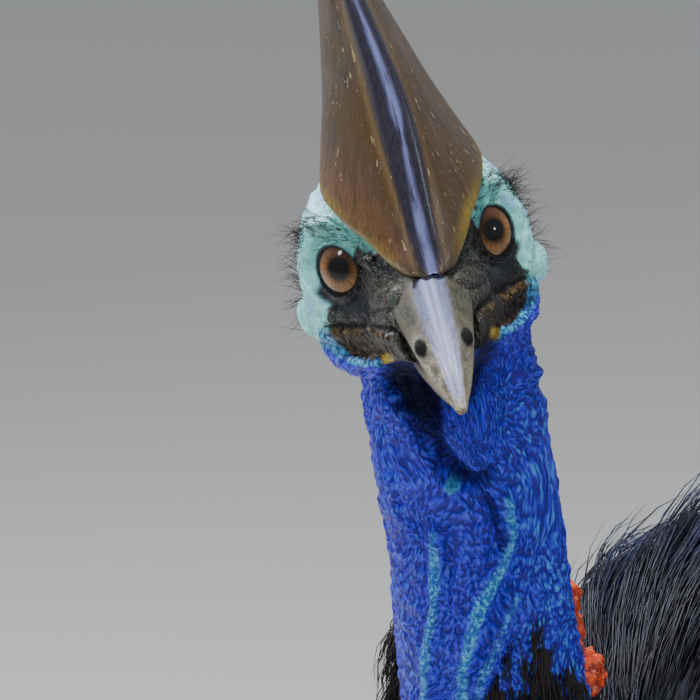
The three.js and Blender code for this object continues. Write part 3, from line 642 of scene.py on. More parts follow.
def marked_face(p, skin, streak, pit):
    """The small marks of face and throat, painted over the skin."""
    gold = p.blend(p.between(streak, 0.4, 0.6), (0.05, 0.03, 0.008), (0.3, 0.19, 0.06))
    yellow = p.blend(p.between(streak, 0.3, 0.6), (0.22, 0.14, 0.015), (0.62, 0.43, 0.05))
    nodule = p.blend(pit, (0.02, 0.16, 0.5), (0.08, 0.42, 0.78))
    # Painted shade: the mouth's crease is darkened to near black along its groove.
    crease = p.times(p.between(p.mark("crease"), 1.0, 0.25), 0.9)
    # A golden line under the crease: partly the skin's own tan and partly a painted sheen.
    skin = p.blend(p.mark("gold"), skin, gold)
    skin = p.blend(crease, skin, (0.003, 0.003, 0.003))
    skin = p.blend(p.mark("yellow"), skin, yellow)
    skin = p.blend(p.mark("nodule"), skin, nodule)
    skin = p.blend(p.mark("shade"), skin, (0.001, 0.0015, 0.009))
    skin = p.blend(p.mark("bag"), skin, (0.022, 0.024, 0.03))
    # The lids' rims near black: partly their own dark skin and partly painted shade where they meet the
    # eyeball.
    return p.blend(p.between(p.mark("lids"), 1.13, 1.0), skin, (0.004, 0.004, 0.005))


def skin_paint():
    p = Paint("bare skin", Roughness=0.42, Specular_IOR_Level=0.24)
    broad = p.noise(70, 3)
    streak = p.noise(420, 5)
    wander = p.times(p.minus(p.noise(240, 4), 0.5), 4)
    pit = p.between(p.cells(620), 0.75, 0.4)
    depth = p.sum(p.mark("deep"), wander)
    wrinkle = neck_wrinkle(p)
    teal = p.blend(p.between(p.cells(480), 0.7, 0.35), (0.008, 0.07, 0.2), (0.08, 0.52, 0.78))
    neck = p.blend(p.between(depth, 8, 3), neck_colour(p, wrinkle, broad, pit), teal)
    skin = p.blend(p.between(depth, -1.5, 1.5), brow_colour(p, streak, broad), neck)
    sooty = p.between(p.sum(p.mark("dusk"), wander), -0.8, 0.9)
    skin = p.blend(sooty, skin, sooty_colour(p, streak, broad))
    p.colour(marked_face(p, skin, streak, pit))
    p.rough(p.mark("shade"), 0.42, 1.0)
    p.bump(p.times(wrinkle, p.between(depth, -2, 4)), sizes().wrinkle_height)
    p.bump(p.cells(760), 0.0004, 0.35)
    p.bump(p.noise(900, 4), 0.0003, 0.4)
    return p.material


def casque_sides(p, fibre, fine):
    """Streaked brown horn, ruddy low on the right, olive on the left and yellow along its rim."""
    c = colours()
    cloud = p.noise(0.09, 3, p.lie("lie", (1, 0.5, 1)))
    ruddy = p.blend(p.between(fine, 0.35, 0.6), tint(c.olive, 0.6), (0.17, 0.065, 0.02))
    olive = p.blend(p.between(fine, 0.35, 0.65), tint(c.olive, 0.32), tint(c.olive, 0.62))
    edge = p.blend(p.between(fine, 0.3, 0.65), tint(c.rim, 0.45), c.rim)
    horn = p.blend(p.between(fibre, 0.35, 0.68), tint(c.horn, 0.45), tint(c.horn, 1.25))
    horn = p.blend(p.between(cloud, 0.45, 0.66), horn, tint(c.olive, 0.6))
    horn = p.blend(p.between(cloud, 0.42, 0.3), horn, (0.1, 0.062, 0.05))
    horn = p.blend(p.times(p.mark("low"), 0.8), horn, ruddy)
    horn = p.blend(p.mark("left"), horn, olive)
    return p.blend(p.mark("rim"), horn, edge)


def casque_flakes(p):
    """Worn flakes and specks, long along the fibres, in patches beside the keel."""
    large = p.between(p.noise(0.9, 2, p.lie("lie", (1, 0.16, 1))), 0.665, 0.7)
    small = p.between(p.noise(2, 2, p.lie("lie", (1, 0.25, 1)), 0.4), 0.7, 0.74)
    patchy = p.between(p.noise(30, 2), 0.38, 0.52)
    flake = p.times(p.most(large, small), patchy)
    return p.times(flake, p.minus(1.0, p.mark("keel")))


def casque_paint():
    c = colours()
    p = Paint("brown horn", Roughness=0.36, Coat_Weight=0.15, Coat_Roughness=0.2)
    fibre = p.noise(0.55, 5, p.lie("lie", (1, 0.09, 1)), 0.6)
    fine = p.noise(2.4, 4, p.lie("lie", (1, 0.09, 1)))
    flake = casque_flakes(p)
    keel = p.blend(p.between(fine, 0.35, 0.65), c.keel, tint(c.keel, 2))
    # Painted highlight: a lavender reflection of the sky along the keel's crest.
    glow = p.times(p.mark("crest_highlight"), p.between(fibre, 0.25, 0.5))
    # Tan along the keel band's edge: partly the horn's own stripe and partly painted highlight.
    horn = p.blend(p.mark("line"), casque_sides(p, fibre, fine), (0.2, 0.13, 0.06))
    horn = p.blend(p.mark("keel"), horn, keel)
    horn = p.blend(glow, horn, (0.17, 0.19, 0.42))
    horn = p.blend(p.times(flake, 0.8), horn, (0.42, 0.33, 0.17))
    p.colour(horn)
    p.rough(p.mark("keel"), 0.4, 0.26)
    p.bump(fine, 0.0005, 0.35)
    p.bump(flake, 0.0004, 0.6)
    return p.material


def bill_paint():
    c = colours()
    p = Paint("grey horn", Roughness=0.46)
    fibre = p.noise(0.8, 4, p.lie("lie", (1, 0.12, 1)))
    streaky = p.between(fibre, 0.3, 0.7)
    cloudy = p.between(p.noise(0.12, 2, p.lie("lie")), 0.45, 0.6)
    chalky = p.between(p.noise(0.8, 4, p.lie("lie")), 0.35, 0.65)
    side = p.blend(streaky, (0.028, 0.032, 0.024), (0.095, 0.094, 0.07))
    side = p.blend(cloudy, side, (0.09, 0.078, 0.055))
    ridge = p.blend(streaky, tint(c.culmen, 0.6), c.culmen)
    ridge = p.blend(p.mark("streak"), ridge, (0.33, 0.36, 0.58))
    root = p.blend(streaky, (0.02, 0.02, 0.014), (0.07, 0.062, 0.04))
    worn = p.blend(chalky, (0.2, 0.175, 0.12), (0.42, 0.37, 0.28))
    horn = p.blend(p.mark("culmen"), side, ridge)
    horn = p.blend(p.mark("root"), horn, root)
    horn = p.blend(p.mark("arch"), horn, (0.003, 0.003, 0.005))
    horn = p.blend(p.mark("edge"), horn, worn)
    # Painted shade: the nostril's opening is near black, as the shade inside its hollow.
    horn = p.blend(p.mark("hole"), horn, (0.001, 0.001, 0.001))
    p.colour(horn)
    dull = p.times(p.minus(1.0, p.mark("culmen")), 0.4)
    p.rough(p.most(p.mark("hole"), dull), 0.36, 1)
    p.bump(fibre, 0.0004, 0.5)
    p.bump(p.noise(500, 4), 0.0003, 0.3)
    return p.material


def eye_paint():
    c = colours()
    p = Paint("wet eye", Roughness=0.5, Specular_IOR_Level=0.1, Coat_Weight=0.7, Coat_Roughness=0.01)
    out = p.mark("out")
    spoke = p.noise(1.0, 4, p.lie("spoke", (9, 9, 1)))
    iris = p.blend(p.between(spoke, 0.35, 0.65), tint(c.amber, 0.6), tint(c.amber, 1.15))
    # Painted shade: the iris darkens towards its top, in the upper lid's shadow.
    iris = p.blend(p.between(p.mark("high"), -3, 7), iris, (0.06, 0.022, 0.01))
    iris = p.blend(p.between(out, 8.6, 10), iris, (0.012, 0.006, 0.003))
    iris = p.blend(p.between(out, 6.8, 3.9), iris, tint(c.amber, 0.08))
    iris = p.blend(p.between(out, 4.3, 3.8), iris, (0.001, 0.001, 0.001))
    p.colour(iris)
    return p.material


def wattle_paint():
    p = Paint("wattle skin", Roughness=0.5)
    share = p.noise(60, 3)
    red = p.blend(p.between(share, 0.35, 0.65), (0.3, 0.012, 0.02), (0.62, 0.05, 0.035))
    red = p.blend(p.between(p.mark("relief"), 0.55, 0.05), red, (0.12, 0.006, 0.03))
    p.colour(red)
    p.bump(p.cells(520), 0.0006, 0.7)
    p.bump(p.noise(900, 3), 0.0003, 0.4)
    return p.material


def caruncle_paint():
    c = colours()
    p = Paint("caruncle skin", Roughness=0.38, Specular_IOR_Level=0.55)
    red = p.blend(p.between(p.noise(160, 3), 0.35, 0.65), tint(c.caruncle, 0.6), c.caruncle)
    red = p.blend(p.between(p.mark("relief"), 0.4, 0.0), red, (0.25, 0.012, 0.01))
    # Painted highlights: small pink spots scattered over the orange skin.
    red = p.blend(p.between(p.noise(700, 3), 0.55, 0.7), red, (0.9, 0.3, 0.16))
    p.colour(red)
    p.bump(p.cells(700), 0.0005, 0.7)
    return p.material


def plumage_paint():
    c = colours()
    p = Paint("plumage", Roughness=0.42, Specular_IOR_Level=0.5)
    p.shader.inputs["Specular Tint"].default_value = (0.72, 0.8, 1, 1)
    tone = p.noise(34, 2)
    black = p.blend(p.between(tone, 0.4, 0.68), c.plumage, (0.016, 0.0115, 0.01))
    sheen = p.times(p.between(p.mark("tip"), 0.25, 1.0), p.between(tone, 0.7, 0.35))
    p.colour(p.blend(sheen, black, (0.085, 0.095, 0.2)))
    return p.material


def down_paint():
    p = Paint("neck feathers", Roughness=0.6)
    p.colour(p.blend(p.between(p.noise(60, 2), 0.4, 0.65), (0.008, 0.006, 0.007), (0.03, 0.018, 0.013)))
    return p.material


def bristle_paint():
    p = Paint("bristles", Roughness=0.4)
    p.colour(p.blend(p.between(p.noise(300, 2), 0.4, 0.7), (0.004, 0.004, 0.005), (0.03, 0.024, 0.02)))
    return p.material


def scale_paint():
    c = colours()
    p = Paint("leg scales", Roughness=0.5)
    tone = p.blend(p.between(p.noise(55, 4), 0.3, 0.7), tint(c.scales, 0.65), tint(c.scales, 1.2))
    tone = p.blend(p.between(p.mark("relief"), 0.6, 0.1), tone, (0.014, 0.012, 0.009))
    tone = p.blend(p.between(p.noise(480, 3), 0.58, 0.72), tone, (0.27, 0.24, 0.18))
    p.colour(tone)
    p.bump(p.noise(700, 4), 0.0004, 0.6)
    return p.material


def claw_paint():
    p = Paint("claw horn", Roughness=0.34, Coat_Weight=0.25)
    fibre = p.noise(1.1, 4, p.lie("lie", (1, 0.1, 1)))
    horn = p.blend(p.between(fibre, 0.35, 0.65), (0.014, 0.012, 0.01), (0.06, 0.05, 0.038))
    p.colour(p.blend(p.mark("tip"), horn, (0.2, 0.17, 0.12)))
    p.bump(fibre, 0.0005, 0.5)
    return p.material


def quill_paint():
    p = Paint("quill", Roughness=0.5, Specular_IOR_Level=0.3)
    horn = p.blend(p.between(p.noise(120, 3), 0.4, 0.65), (0.008, 0.007, 0.008), (0.035, 0.026, 0.02))
    p.colour(horn)
    p.bump(p.noise(900, 3), 0.0002, 0.4)
    return p.material


# Shapes


def grown(across, down, place):
    """A closed skin from a sphere, each of its points placed by its share of the way from the first
    pole to the second, its angle round and its reach, which is 0 at the two poles."""
    bm = bmesh.new()
    bmesh.ops.create_uvsphere(bm, u_segments=across, v_segments=down, radius=1)
    co = np.array([v.co for v in bm.verts])
    t = np.arccos(np.clip(co[:, 2], -1, 1)) / math.pi
    angle = np.arctan2(co[:, 0], co[:, 1])
    reach = np.where((t < 1e-4) | (t > 1 - 1e-4), 0.0, 1.0)
    for vert, at in zip(bm.verts, place(t, angle, reach)):
        vert.co = at
    bmesh.ops.recalc_face_normals(bm, faces=bm.faces)
    return bm


def ball(centre, radii, across=40, down=26):
    """A ball in the head's own frame: left, forward, up."""

    def place(t, angle, reach):
        ring = np.sin(t * math.pi)
        round_it = np.stack([np.sin(angle) * ring, np.cos(angle) * ring, np.cos(t * math.pi)], -1)
        return in_head(round_it * radii + centre)

    return grown(across, down, place)


def hose(points, radii, across=20, down=40):
    """A round tube through points in metres; radii in millimetres."""
    points = np.asarray(points, float)
    aside = np.array([1, 0, 0])

    def place(t, angle, reach):
        ahead = unit(along(points, t + 0.01) - along(points, t - 0.01))
        beside = unit(aside - ahead * (ahead @ aside)[:, None])
        above = np.cross(ahead, beside)
        r = along(radii, t)[:, None] * MM * reach[:, None]
        return along(points, t) + (beside * np.sin(angle)[:, None] + above * np.cos(angle)[:, None]) * r

    return grown(across, down, place)


def mesh_of(name, bm):
    mesh = bpy.data.meshes.new(name)
    bm.to_mesh(mesh)
    bm.free()
    return mesh


def joined(name, shapes):
    """One mesh that holds several closed shapes."""
    bm = bmesh.new()
    for shape in shapes:
        part = mesh_of("part", shape)
        bm.from_mesh(part)
        bpy.data.meshes.remove(part)
    return mesh_of(name, bm)


def fused(name, shapes, cell, rounds):
    """One skin round several closed shapes, remeshed and smoothed."""
    return reskinned(name, joined(name, shapes), cell, rounds)


def reskinned(name, mesh, cell, rounds):
    temp = bpy.data.objects.new(name, mesh)
    bpy.context.collection.objects.link(temp)
    skin = temp.modifiers.new("skin", "REMESH")
    skin.mode = "VOXEL"
    skin.voxel_size = cell
    soften = temp.modifiers.new("soften", "SMOOTH")
    soften.factor = 0.5
    soften.iterations = rounds
    done = temp.evaluated_get(bpy.context.evaluated_depsgraph_get())
    result = bpy.data.meshes.new_from_object(done)
    bpy.data.objects.remove(temp)
    bpy.data.meshes.remove(mesh)
    result.name = name
    return result


def copy_of(node):
    """A merged copy of a CAD node's mesh."""
    bm = bmesh.new()
    bm.from_mesh(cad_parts[node].data)
    bmesh.ops.remove_doubles(bm, verts=bm.verts, dist=1e-6)
    return bm


class Clay:
    """A mesh's points as arrays, with the marks that its material reads."""

    def __init__(self, mesh):
        self.mesh = mesh
        self.co = np.empty(len(mesh.vertices) * 3)
        mesh.vertices.foreach_get("co", self.co)
        self.co = self.co.reshape(-1, 3)
        self.read_normals()
        self.height = np.zeros(len(self.co))

    def read_normals(self):
        self.normals = np.empty(len(self.mesh.vertices) * 3)
        self.mesh.vertex_normals.foreach_get("vector", self.normals)
        self.normals = self.normals.reshape(-1, 3)

    def push(self):
        """Moves the skin out along its normals by the heights gathered, in millimetres."""
        self.co = self.co + self.normals * self.height[:, None] * MM
        self.mesh.vertices.foreach_set("co", self.co.ravel())
        self.mesh.update()
        self.height = np.zeros(len(self.co))

    def mark(self, name, values):
        layer = self.mesh.attributes.new(name, "FLOAT", "POINT")
        layer.data.foreach_set("value", np.ascontiguousarray(values, dtype=np.float32))

    def lie(self, name, vectors):
        layer = self.mesh.attributes.new(name, "FLOAT_VECTOR", "POINT")
        layer.data.foreach_set("vector", np.ascontiguousarray(vectors, dtype=np.float32).ravel())


def piece(name, mesh, material, slot, *nodes):
    """Sets a finished mesh in the scene, riding on the bird, in the place of the nodes named."""
    mesh.polygons.foreach_set("use_smooth", [True] * len(mesh.polygons))
    mesh.materials.clear()
    mesh.materials.append(material)
    made = bpy.data.objects.new(name, mesh)
    bpy.context.collection.objects.link(made)
    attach(made, "root")
    if nodes:
        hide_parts(*nodes)
    return made


# Head and neck


def head_point(t, angle, reach):
    half = along(HEAD_HALF, t)
    crown = along(HEAD_CROWN, t)
    throat = along(HEAD_THROAT, t)
    sine = np.sin(angle)
    cosine = np.cos(angle)
    full = np.where(cosine < 0, JOWL_SQUARE, HEAD_SQUARE)
    left = np.sign(sine) * np.abs(sine) ** full * half * reach
    rise = np.sign(cosine) * np.abs(cosine) ** HEAD_SQUARE
    up = (crown + throat) / 2 + rise * (crown - throat) / 2 * reach
    return in_head(np.stack([left, mix(HEAD_BACK, HEAD_FRONT, t), up], -1))


def neck_frame(t):
    """The neck's middle, heading, front and left at t, in the laid-out frame."""
    centre = along(NECK_PATH, t)
    ahead = unit(along(NECK_PATH, np.asarray(t) + 0.01) - along(NECK_PATH, np.asarray(t) - 0.01))
    turn = np.radians(along(NECK_TURN, t))
    front = np.stack([np.sin(turn), -np.cos(turn), 0 * turn], -1)
    front = unit(front - ahead * np.sum(front * ahead, -1, keepdims=True))
    return centre, ahead, front, np.cross(front, ahead)


def neck_point(t, angle, reach=1.0):
    centre, _, front, left = neck_frame(t)
    across = (along(NECK_HALF, t) * np.sin(angle) * reach)[..., None] * left
    return centre + across + (along(NECK_DEPTH, t) * np.cos(angle) * reach)[..., None] * front


def neck_form():
    def place(t, angle, reach):
        return in_body(neck_point(t * BARE_NECK_END, angle, reach))

    return grown(72, 120, place)


def eye_axes(s, aside, rise):
    """An eye's line of sight, the way outwards and the way up, as left, forward and up."""
    a = math.radians(aside)
    e = math.radians(rise)
    ahead = np.array([s * math.sin(a) * math.cos(e), math.cos(a) * math.cos(e), math.sin(e)])
    outward = np.array([s * math.cos(a), -math.sin(a), 0.0])
    above = np.array([-s * math.sin(a) * math.sin(e), -math.cos(a) * math.sin(e), math.cos(e)])
    return ahead, outward, above


def eye_place(head, s):
    """Each point's way from an eye's middle, and how far it is from the middle of the lids'
    opening, in half openings, across and up."""
    way = head - np.array(EYEBALL) * (s, 1, 1)
    aside, rise, across, up = OPENING[s]
    ahead, outward, above = eye_axes(s, aside, rise)
    x, y, z = way @ outward, way @ above, way @ ahead
    u = np.degrees(np.arctan2(x, z)) / across
    v = np.degrees(np.arctan2(y, np.hypot(x, z))) / up
    return way, u, v


def fit_lids(clay, head):
    """Opens the skin over the eyes and lays the lids on them. Returns each point's distance from
    the middle of its opening, in half openings, and how much it lies in the fold under the eye."""
    rim = np.full(len(head), 9.0)
    bag = np.zeros(len(head))
    moved = head.copy()
    for s in (1, -1):
        way, u, v = eye_place(head, s)
        q = np.hypot(u, v)
        reach = np.linalg.norm(way, axis=-1)
        near = (reach < 34) & (np.abs(u) < 3)
        low = np.maximum(-v / np.maximum(q, 0.01), 0) ** 2
        hug = step(1.5 + 0.2 * low, 1.12, q)
        goal = EYE_RADIUS + 0.9 + 0.8 * hump(q - 1.1, 0.1) + 1.2 * low * hump(q - 1.36, 0.18)
        goal = mix(EYE_RADIUS - 1.5, goal, step(0.88, 1.06, q))
        made = mix(reach, goal, hug)
        moved = np.where(near[:, None], head + way * (made / reach - 1)[:, None], moved)
        rim = np.where(near, np.minimum(rim, q), rim)
        bag = np.where(near, np.maximum(bag, step(1.62, 1.48, q) * step(0.1, 0.35, low)), bag)
    clay.co = in_head(moved)
    clay.mesh.vertices.foreach_set("co", clay.co.ravel())
    clay.mesh.update()
    clay.read_normals()
    return rim, bag


def sided(points, s):
    return in_head([(s * left, forward, up) for left, forward, up in points])


def head_forms():
    """The skull and neck, with the lobes and ridges of both sides."""
    forms = [grown(96, 90, head_point), neck_form()]
    forms += [ball(np.array(LOBE) * (s, 1, 1), LOBE_RADII) for s in (1, -1)]
    for path, radii in RIDGES:
        forms += [hose(sided(path, s), radii) for s in (1, -1)]
    return forms


def neck_place(co):
    """For each point its share of the neck's length, its angle from the front and its radius."""
    laid = to_body(co)
    shares = np.linspace(0, BARE_NECK_END, 90)
    middles = along(NECK_PATH, shares)
    nearest = np.empty(len(laid), int)
    for k in range(0, len(laid), 20000):
        gap = np.linalg.norm(laid[k : k + 20000, None] - middles, axis=-1)
        nearest[k : k + 20000] = np.argmin(gap, axis=1)
    t = shares[nearest]
    centre, _, front, left = neck_frame(t)
    out = laid - centre
    angle = np.arctan2(np.sum(out * left, -1), np.sum(out * front, -1))
    return t, angle, np.linalg.norm(out, axis=-1), laid


def wrinkle_flow(laid, angle, radius):
    """Places on the neck, across and along its wrinkles. They run upright, and slant under the left
    cheek."""
    slant = np.radians(58) * step(-0.2, 0.9, angle) * step(1050, 1105, laid[:, 2])
    across = angle * NECK_ROUND
    rise = laid[:, 2] - 1085
    u = across * np.cos(slant) + rise * np.sin(slant)
    v = rise * np.cos(slant) - across * np.sin(slant)
    flow = np.stack([u, v, radius * 0.5], -1)
    drift = np.stack([billow(flow / 15, 3), billow(flow / 15, 9), 0 * u], -1)
    return flow + drift * 4


def wrinkle_neck(clay, amount):
    """Folds and wrinkles of the bare neck. Returns the relief, from 0 to 1."""
    _, angle, radius, laid = neck_place(clay.co)
    flow = wrinkle_flow(laid, angle, radius)
    small = np.abs(billow(flow / (3.4, 7, 9), 5)) ** 0.7
    coarse = np.abs(billow(flow / (6.5, 13, 9), 6)) ** 0.8
    folds = np.abs(billow(flow / (12, 44, 9), 12))
    broad = billow(flow / (17, 40, 9), 2)
    low = step(1100, 1060, laid[:, 2])
    clay.height += amount * (1.3 * (small - 0.4) + (1.5 - 0.5 * low) * (coarse - 0.4))
    clay.height += amount * (1.3 * (folds - 0.3) + 0.8 * broad)
    clay.lie("wrinkle", flow)
    # The light mark places painted highlights: turquoise wrinkle tops along the neck's left edge and up its
    # right side.
    left_edge = 0.45 * hump(angle + 0.95, 0.3)
    light = 1.25 * step(0.2, 0.95, angle) * step(1135, 1100, laid[:, 2]) + left_edge
    clay.mark("light", np.clip(light * (0.75 + 0.5 * billow(flow / (9, 16, 9), 7)), 0, 1))
    return np.clip(0.45 * small + 0.35 * coarse + 0.3 * folds, 0, 1)


def shape_throat(clay, head, seen):
    """The tongue of skin that hangs under the bill, the nodule below it and the shadow round it."""
    ahead = step(-40, -28, head[:, 1])
    flap = inside_by(seen, FLAP)
    clay.height += 4.2 * step(-1.2, 2.6, flap) * ahead
    nodule = np.linalg.norm(seen - NODULE, axis=-1)
    clay.height += 3.4 * step(3.8, 1.2, nodule) * ahead
    clay.height -= 1.4 * hump(far_from(seen, THROAT_GROOVE), 1.6) * ahead
    soft = 1.5 * billow(head / 4, 17)
    shade = 0.97 * step(-4.5, 3.2, inside_by(seen, SHADE_LEFT) + soft)
    shade *= 1 - 0.2 * step(-55, -75, seen[:, 1])
    shade = np.maximum(shade, 0.9 * step(-4, 2.5, inside_by(seen, SHADE_RIGHT) + soft))
    shade = np.maximum(shade, 0.5 * hump(far_from(seen, THROAT_GROOVE), 1.8))
    clay.height -= 3.4 * step(-3, 2, inside_by(seen, SHADE_LEFT)) * ahead
    clay.mark("shade", shade * ahead * (1 - 0.85 * step(-0.5, 1.5, flap)))
    clay.mark("nodule", step(3.6, 2.6, nodule) * ahead)


def raise_cords(clay):
    """The pale cords of skin down the neck's front. Returns how much each point is on one."""
    total = np.zeros(len(clay.co))
    _, angle, _, laid = neck_place(clay.co)
    spread = np.stack([angle * NECK_ROUND, laid[:, 2]], -1)
    for path, width, height in CORDS:
        path = along(np.array(path, float), np.linspace(0, 1, 24))
        _, turn, _, _ = neck_place(in_body(path))
        away = far_from(spread, np.stack([turn * NECK_ROUND, path[:, 2]], -1))
        away = away + 0.7 * billow(laid / 5, 11)
        clay.height += height * hump(away, width * 1.2)
        clay.height -= 1.0 * hump(away - width * 2.4, width)
        total = np.maximum(total, hump(away, width * 1.2) * min(1, height / 2))
    knots = 0.5 + 0.5 * np.cos(laid[:, 2] * 2.6 + 4 * billow(laid / 7, 8))
    clay.height -= 0.7 * total * knots
    return total * (0.7 + 0.3 * (1 - knots)) * (0.85 + 0.25 * billow(laid / 9, 14))


def shape_face(clay, face, seen):
    """The lines and pads of the face, which is given folded and as left and up in sight."""
    front = step(-34, -26, face[:, 1])
    clay.height -= 2.0 * hump(far_from(seen, CREASE), 1.2) * front
    clay.height += 1.0 * hump(far_from(seen, np.array(CREASE) - (0, 3.4)), 2.0) * front
    for fold in LORE_FOLDS:
        clay.height -= 0.9 * hump(far_from(seen, fold), 1.2) * front
    clay.height += 1.5 * hump(np.linalg.norm(seen - GAPE, axis=-1), 2.4) * step(5, 15, face[:, 1])
    rough = 1 - 0.7 * step(25, 16, face[:, 0]) * step(0, -8, seen[:, 1])
    clay.height += (0.6 * billow(face / 3.4, 41) + 0.4 * billow(face / 2.2, 42)) * rough
    clay.height -= 2.4 * hump(np.linalg.norm(seen - JOWL, axis=-1), 8) * step(-48, -30, face[:, 1])


def mark_fields(clay, face, seen, rim):
    """Marks which skin is pale, which is sooty and which belongs to the neck."""
    left, forward, up = face.T
    rise = seen[:, 1]
    lobe = np.linalg.norm((face - LOBE) / LOBE_RADII, axis=-1)
    nape = in_sight(np.stack([left, np.maximum(forward, -35), up], -1))
    gape = np.where(forward > 5, np.linalg.norm(seen - GAPE - (1.2, 0), axis=-1), 99)
    glow = step(6.5, 3, gape) * step(GAPE[0] - 1, GAPE[0] + 1.5, left)
    dusk = np.minimum(inside_by(seen, DUSK), forward + 34)
    jaw = step(-6.5, -2.5, dusk) * step(15, 20, left) * step(-36, -30, forward) * step(-14, -20, rise)
    deep = np.minimum(-nape - 19, 14 * (lobe - 1.12)) + 12 * step(-30, -38, rise)
    clay.mark("deep", mix(deep, np.minimum(deep, 4.2), np.maximum(jaw, glow)))
    clay.mark("dusk", dusk)
    clay.mark("mint", step(4, -8, rise) * step(1.1, 1.5, lobe + 0.35 * step(-25, -33, forward)))
    green = step(2.0, 1.35, rim) * step(-8, 2, up) + 0.7 * step(-8, 4, forward) * step(4, 12, up)
    clay.mark("green", np.clip(green, 0, 1))


def mark_mouth(clay, face, seen):
    """Marks the mouth's crease, the pad of skin under it and the yellow spot at its corner."""
    left, forward, _ = face.T
    rise = seen[:, 1]
    front = step(-34, -20, forward) * step(46, 38, forward)
    under = np.interp(left, *np.array(CREASE).T) - rise
    below = far_from(seen, np.array(CREASE) - (0, 1.9))
    patchy = step(0.25, 0.6, 0.5 + 0.5 * billow(face / 4, 44))
    spot = np.where(forward > 5, np.linalg.norm(seen - GAPE, axis=-1), 99)
    # Distance from the mouth's crease, along which the skin's material paints shade.
    clay.mark("crease", np.where(forward > -34, far_from(seen, CREASE), 9))
    clay.mark("pad", step(0.2, 1.6, under) * step(9, 12, left) * front)
    clay.mark("taupe", step(25, 15, left) * step(-3, -12, rise))
    # The golden line under the crease: partly the skin's own tan and partly a painted sheen.
    clay.mark("gold", 0.6 * step(1.0, 0.3, below) * front * patchy)
    clay.mark("yellow", step(2.9, 1.7, spot))


def dress_head():
    mesh = fused("skin", head_forms(), sizes().skin_cell, HEAD_SMOOTHING)
    clay = Clay(mesh)
    head = to_head(clay.co)
    rim, bag = fit_lids(clay, head)
    face = folded(head)
    rise = in_sight(head)
    seen = np.stack([face[:, 0], rise], -1)
    low = step(-36, -50, head[:, 2] + 0.22 * head[:, 1])
    clay.mark("cord", raise_cords(clay) * low)
    shape_face(clay, face, seen)
    clay.mark("relief", wrinkle_neck(clay, 0.1 + 0.9 * low))
    shape_throat(clay, head, np.stack([head[:, 0], rise], -1))
    clay.height *= step(1.04, 1.2, rim)
    clay.mark("lids", rim)
    clay.mark("bag", bag)
    mark_fields(clay, face, seen, rim)
    mark_mouth(clay, face, seen)
    clay.push()
    return piece("skin", mesh, paint(skin_paint), "pale_skin", "head", "neck")


# Casque


def casque_point(t, angle, reach):
    front = along(CASQUE_FRONT, t)
    rear = along(CASQUE_REAR, t)
    half = along(CASQUE_HALF, t)
    c = np.cos(angle)
    thickest = mix(rear, front, CASQUE_THICKEST)
    forward = thickest + np.where(c > 0, front - thickest, thickest - rear) * c * reach
    pinch = np.where(c > 0, 1 - 0.28 * c * c, 1 - 0.1 * c * c)
    bow = mix(along(CASQUE_SWAY, t), along(CASQUE_LEAN, t), np.maximum(c, 0) ** 2)
    left = half * np.sin(angle) * pinch * reach + bow
    return in_head(np.stack([left, forward, mix(CASQUE_FOOT, CASQUE_TOP, t)], -1))


def dress_casque():
    mesh = mesh_of("casque_horn", grown(112, 130, casque_point))
    clay = Clay(mesh)
    head = to_head(clay.co)
    t = (head[:, 2] - CASQUE_FOOT) / (CASQUE_TOP - CASQUE_FOOT)
    front = along(CASQUE_FRONT, t)
    rear = along(CASQUE_REAR, t)
    half = along(CASQUE_HALF, t)
    depth = (front - head[:, 1]) / (front - rear)
    foremost = np.clip(1 - depth / (1 - CASQUE_THICKEST), 0, 1) ** 2
    bow = mix(along(CASQUE_SWAY, t), along(CASQUE_LEAN, t), foremost)
    across = (head[:, 0] - bow) / np.maximum(half, 1)
    side = np.abs(head[:, 0] - bow)
    flow = np.stack([across * 24 + depth * 18, head[:, 2], head[:, 1] * 0.3], -1)
    ahead = step(0.5, 0.35, depth)
    band = KEEL_BAND * (0.72 + 0.28 * step(0, 0.4, t)) * (1 - 0.5 * step(0.5, 0.85, t))
    band = band * (1 + 0.12 * billow(flow / (30, 16, 9), 5))
    line = np.interp(head[:, 1], *np.array(CASQUE_LINE).T)
    rise = head[:, 2] - line
    under = step(3, -9, rise)
    head[:, 0] = bow + (head[:, 0] - bow) * (1 - 0.45 * under)
    clay.co = in_head(head)
    clay.height += 1.5 * hump(side, 2.6) * ahead
    clay.height -= 0.7 * hump(side - band * 0.62, 1.6) * ahead
    clay.height += 0.5 * hump(side - band * 1.12, 1.1) * ahead
    clay.height += 0.3 * billow(flow / (5, 40, 9), 4)
    clay.mark("keel", step(band * 1.1, band * 0.86, side) * ahead * step(-2, 6, rise))
    # Where the casque's material paints the lavender highlight along the keel's crest.
    clay.mark("crest_highlight", 0.9 * step(2.2, 0.9, side + 0.8 * billow(flow / (40, 9, 9), 16)) * ahead)
    # A tan line along the ridge beside the keel band, stronger on the bird's right, where the light falls:
    # partly the horn's own stripe and partly painted highlight.
    lit = mix(0.6, 0.3, step(-3, 3, head[:, 0] - bow))
    clay.mark("line", lit * hump(side - band * 1.16, 0.8) * ahead)
    clay.mark("low", step(30, 4, rise) * step(4, 14, side) * step(12, -2, head[:, 0]))
    clay.mark("left", 0.6 * step(0, 9, head[:, 0] - bow) * step(0.75, 0.35, t))
    clay.mark("rim", 0.9 * step(9, 0, rise + 2.4 * billow(flow / 7, 15)) ** 1.4 * step(7, 18, side))
    clay.lie("lie", flow)
    clay.push()
    piece("casque_horn", mesh, paint(casque_paint), "casque_horn", "casque")


# Bill


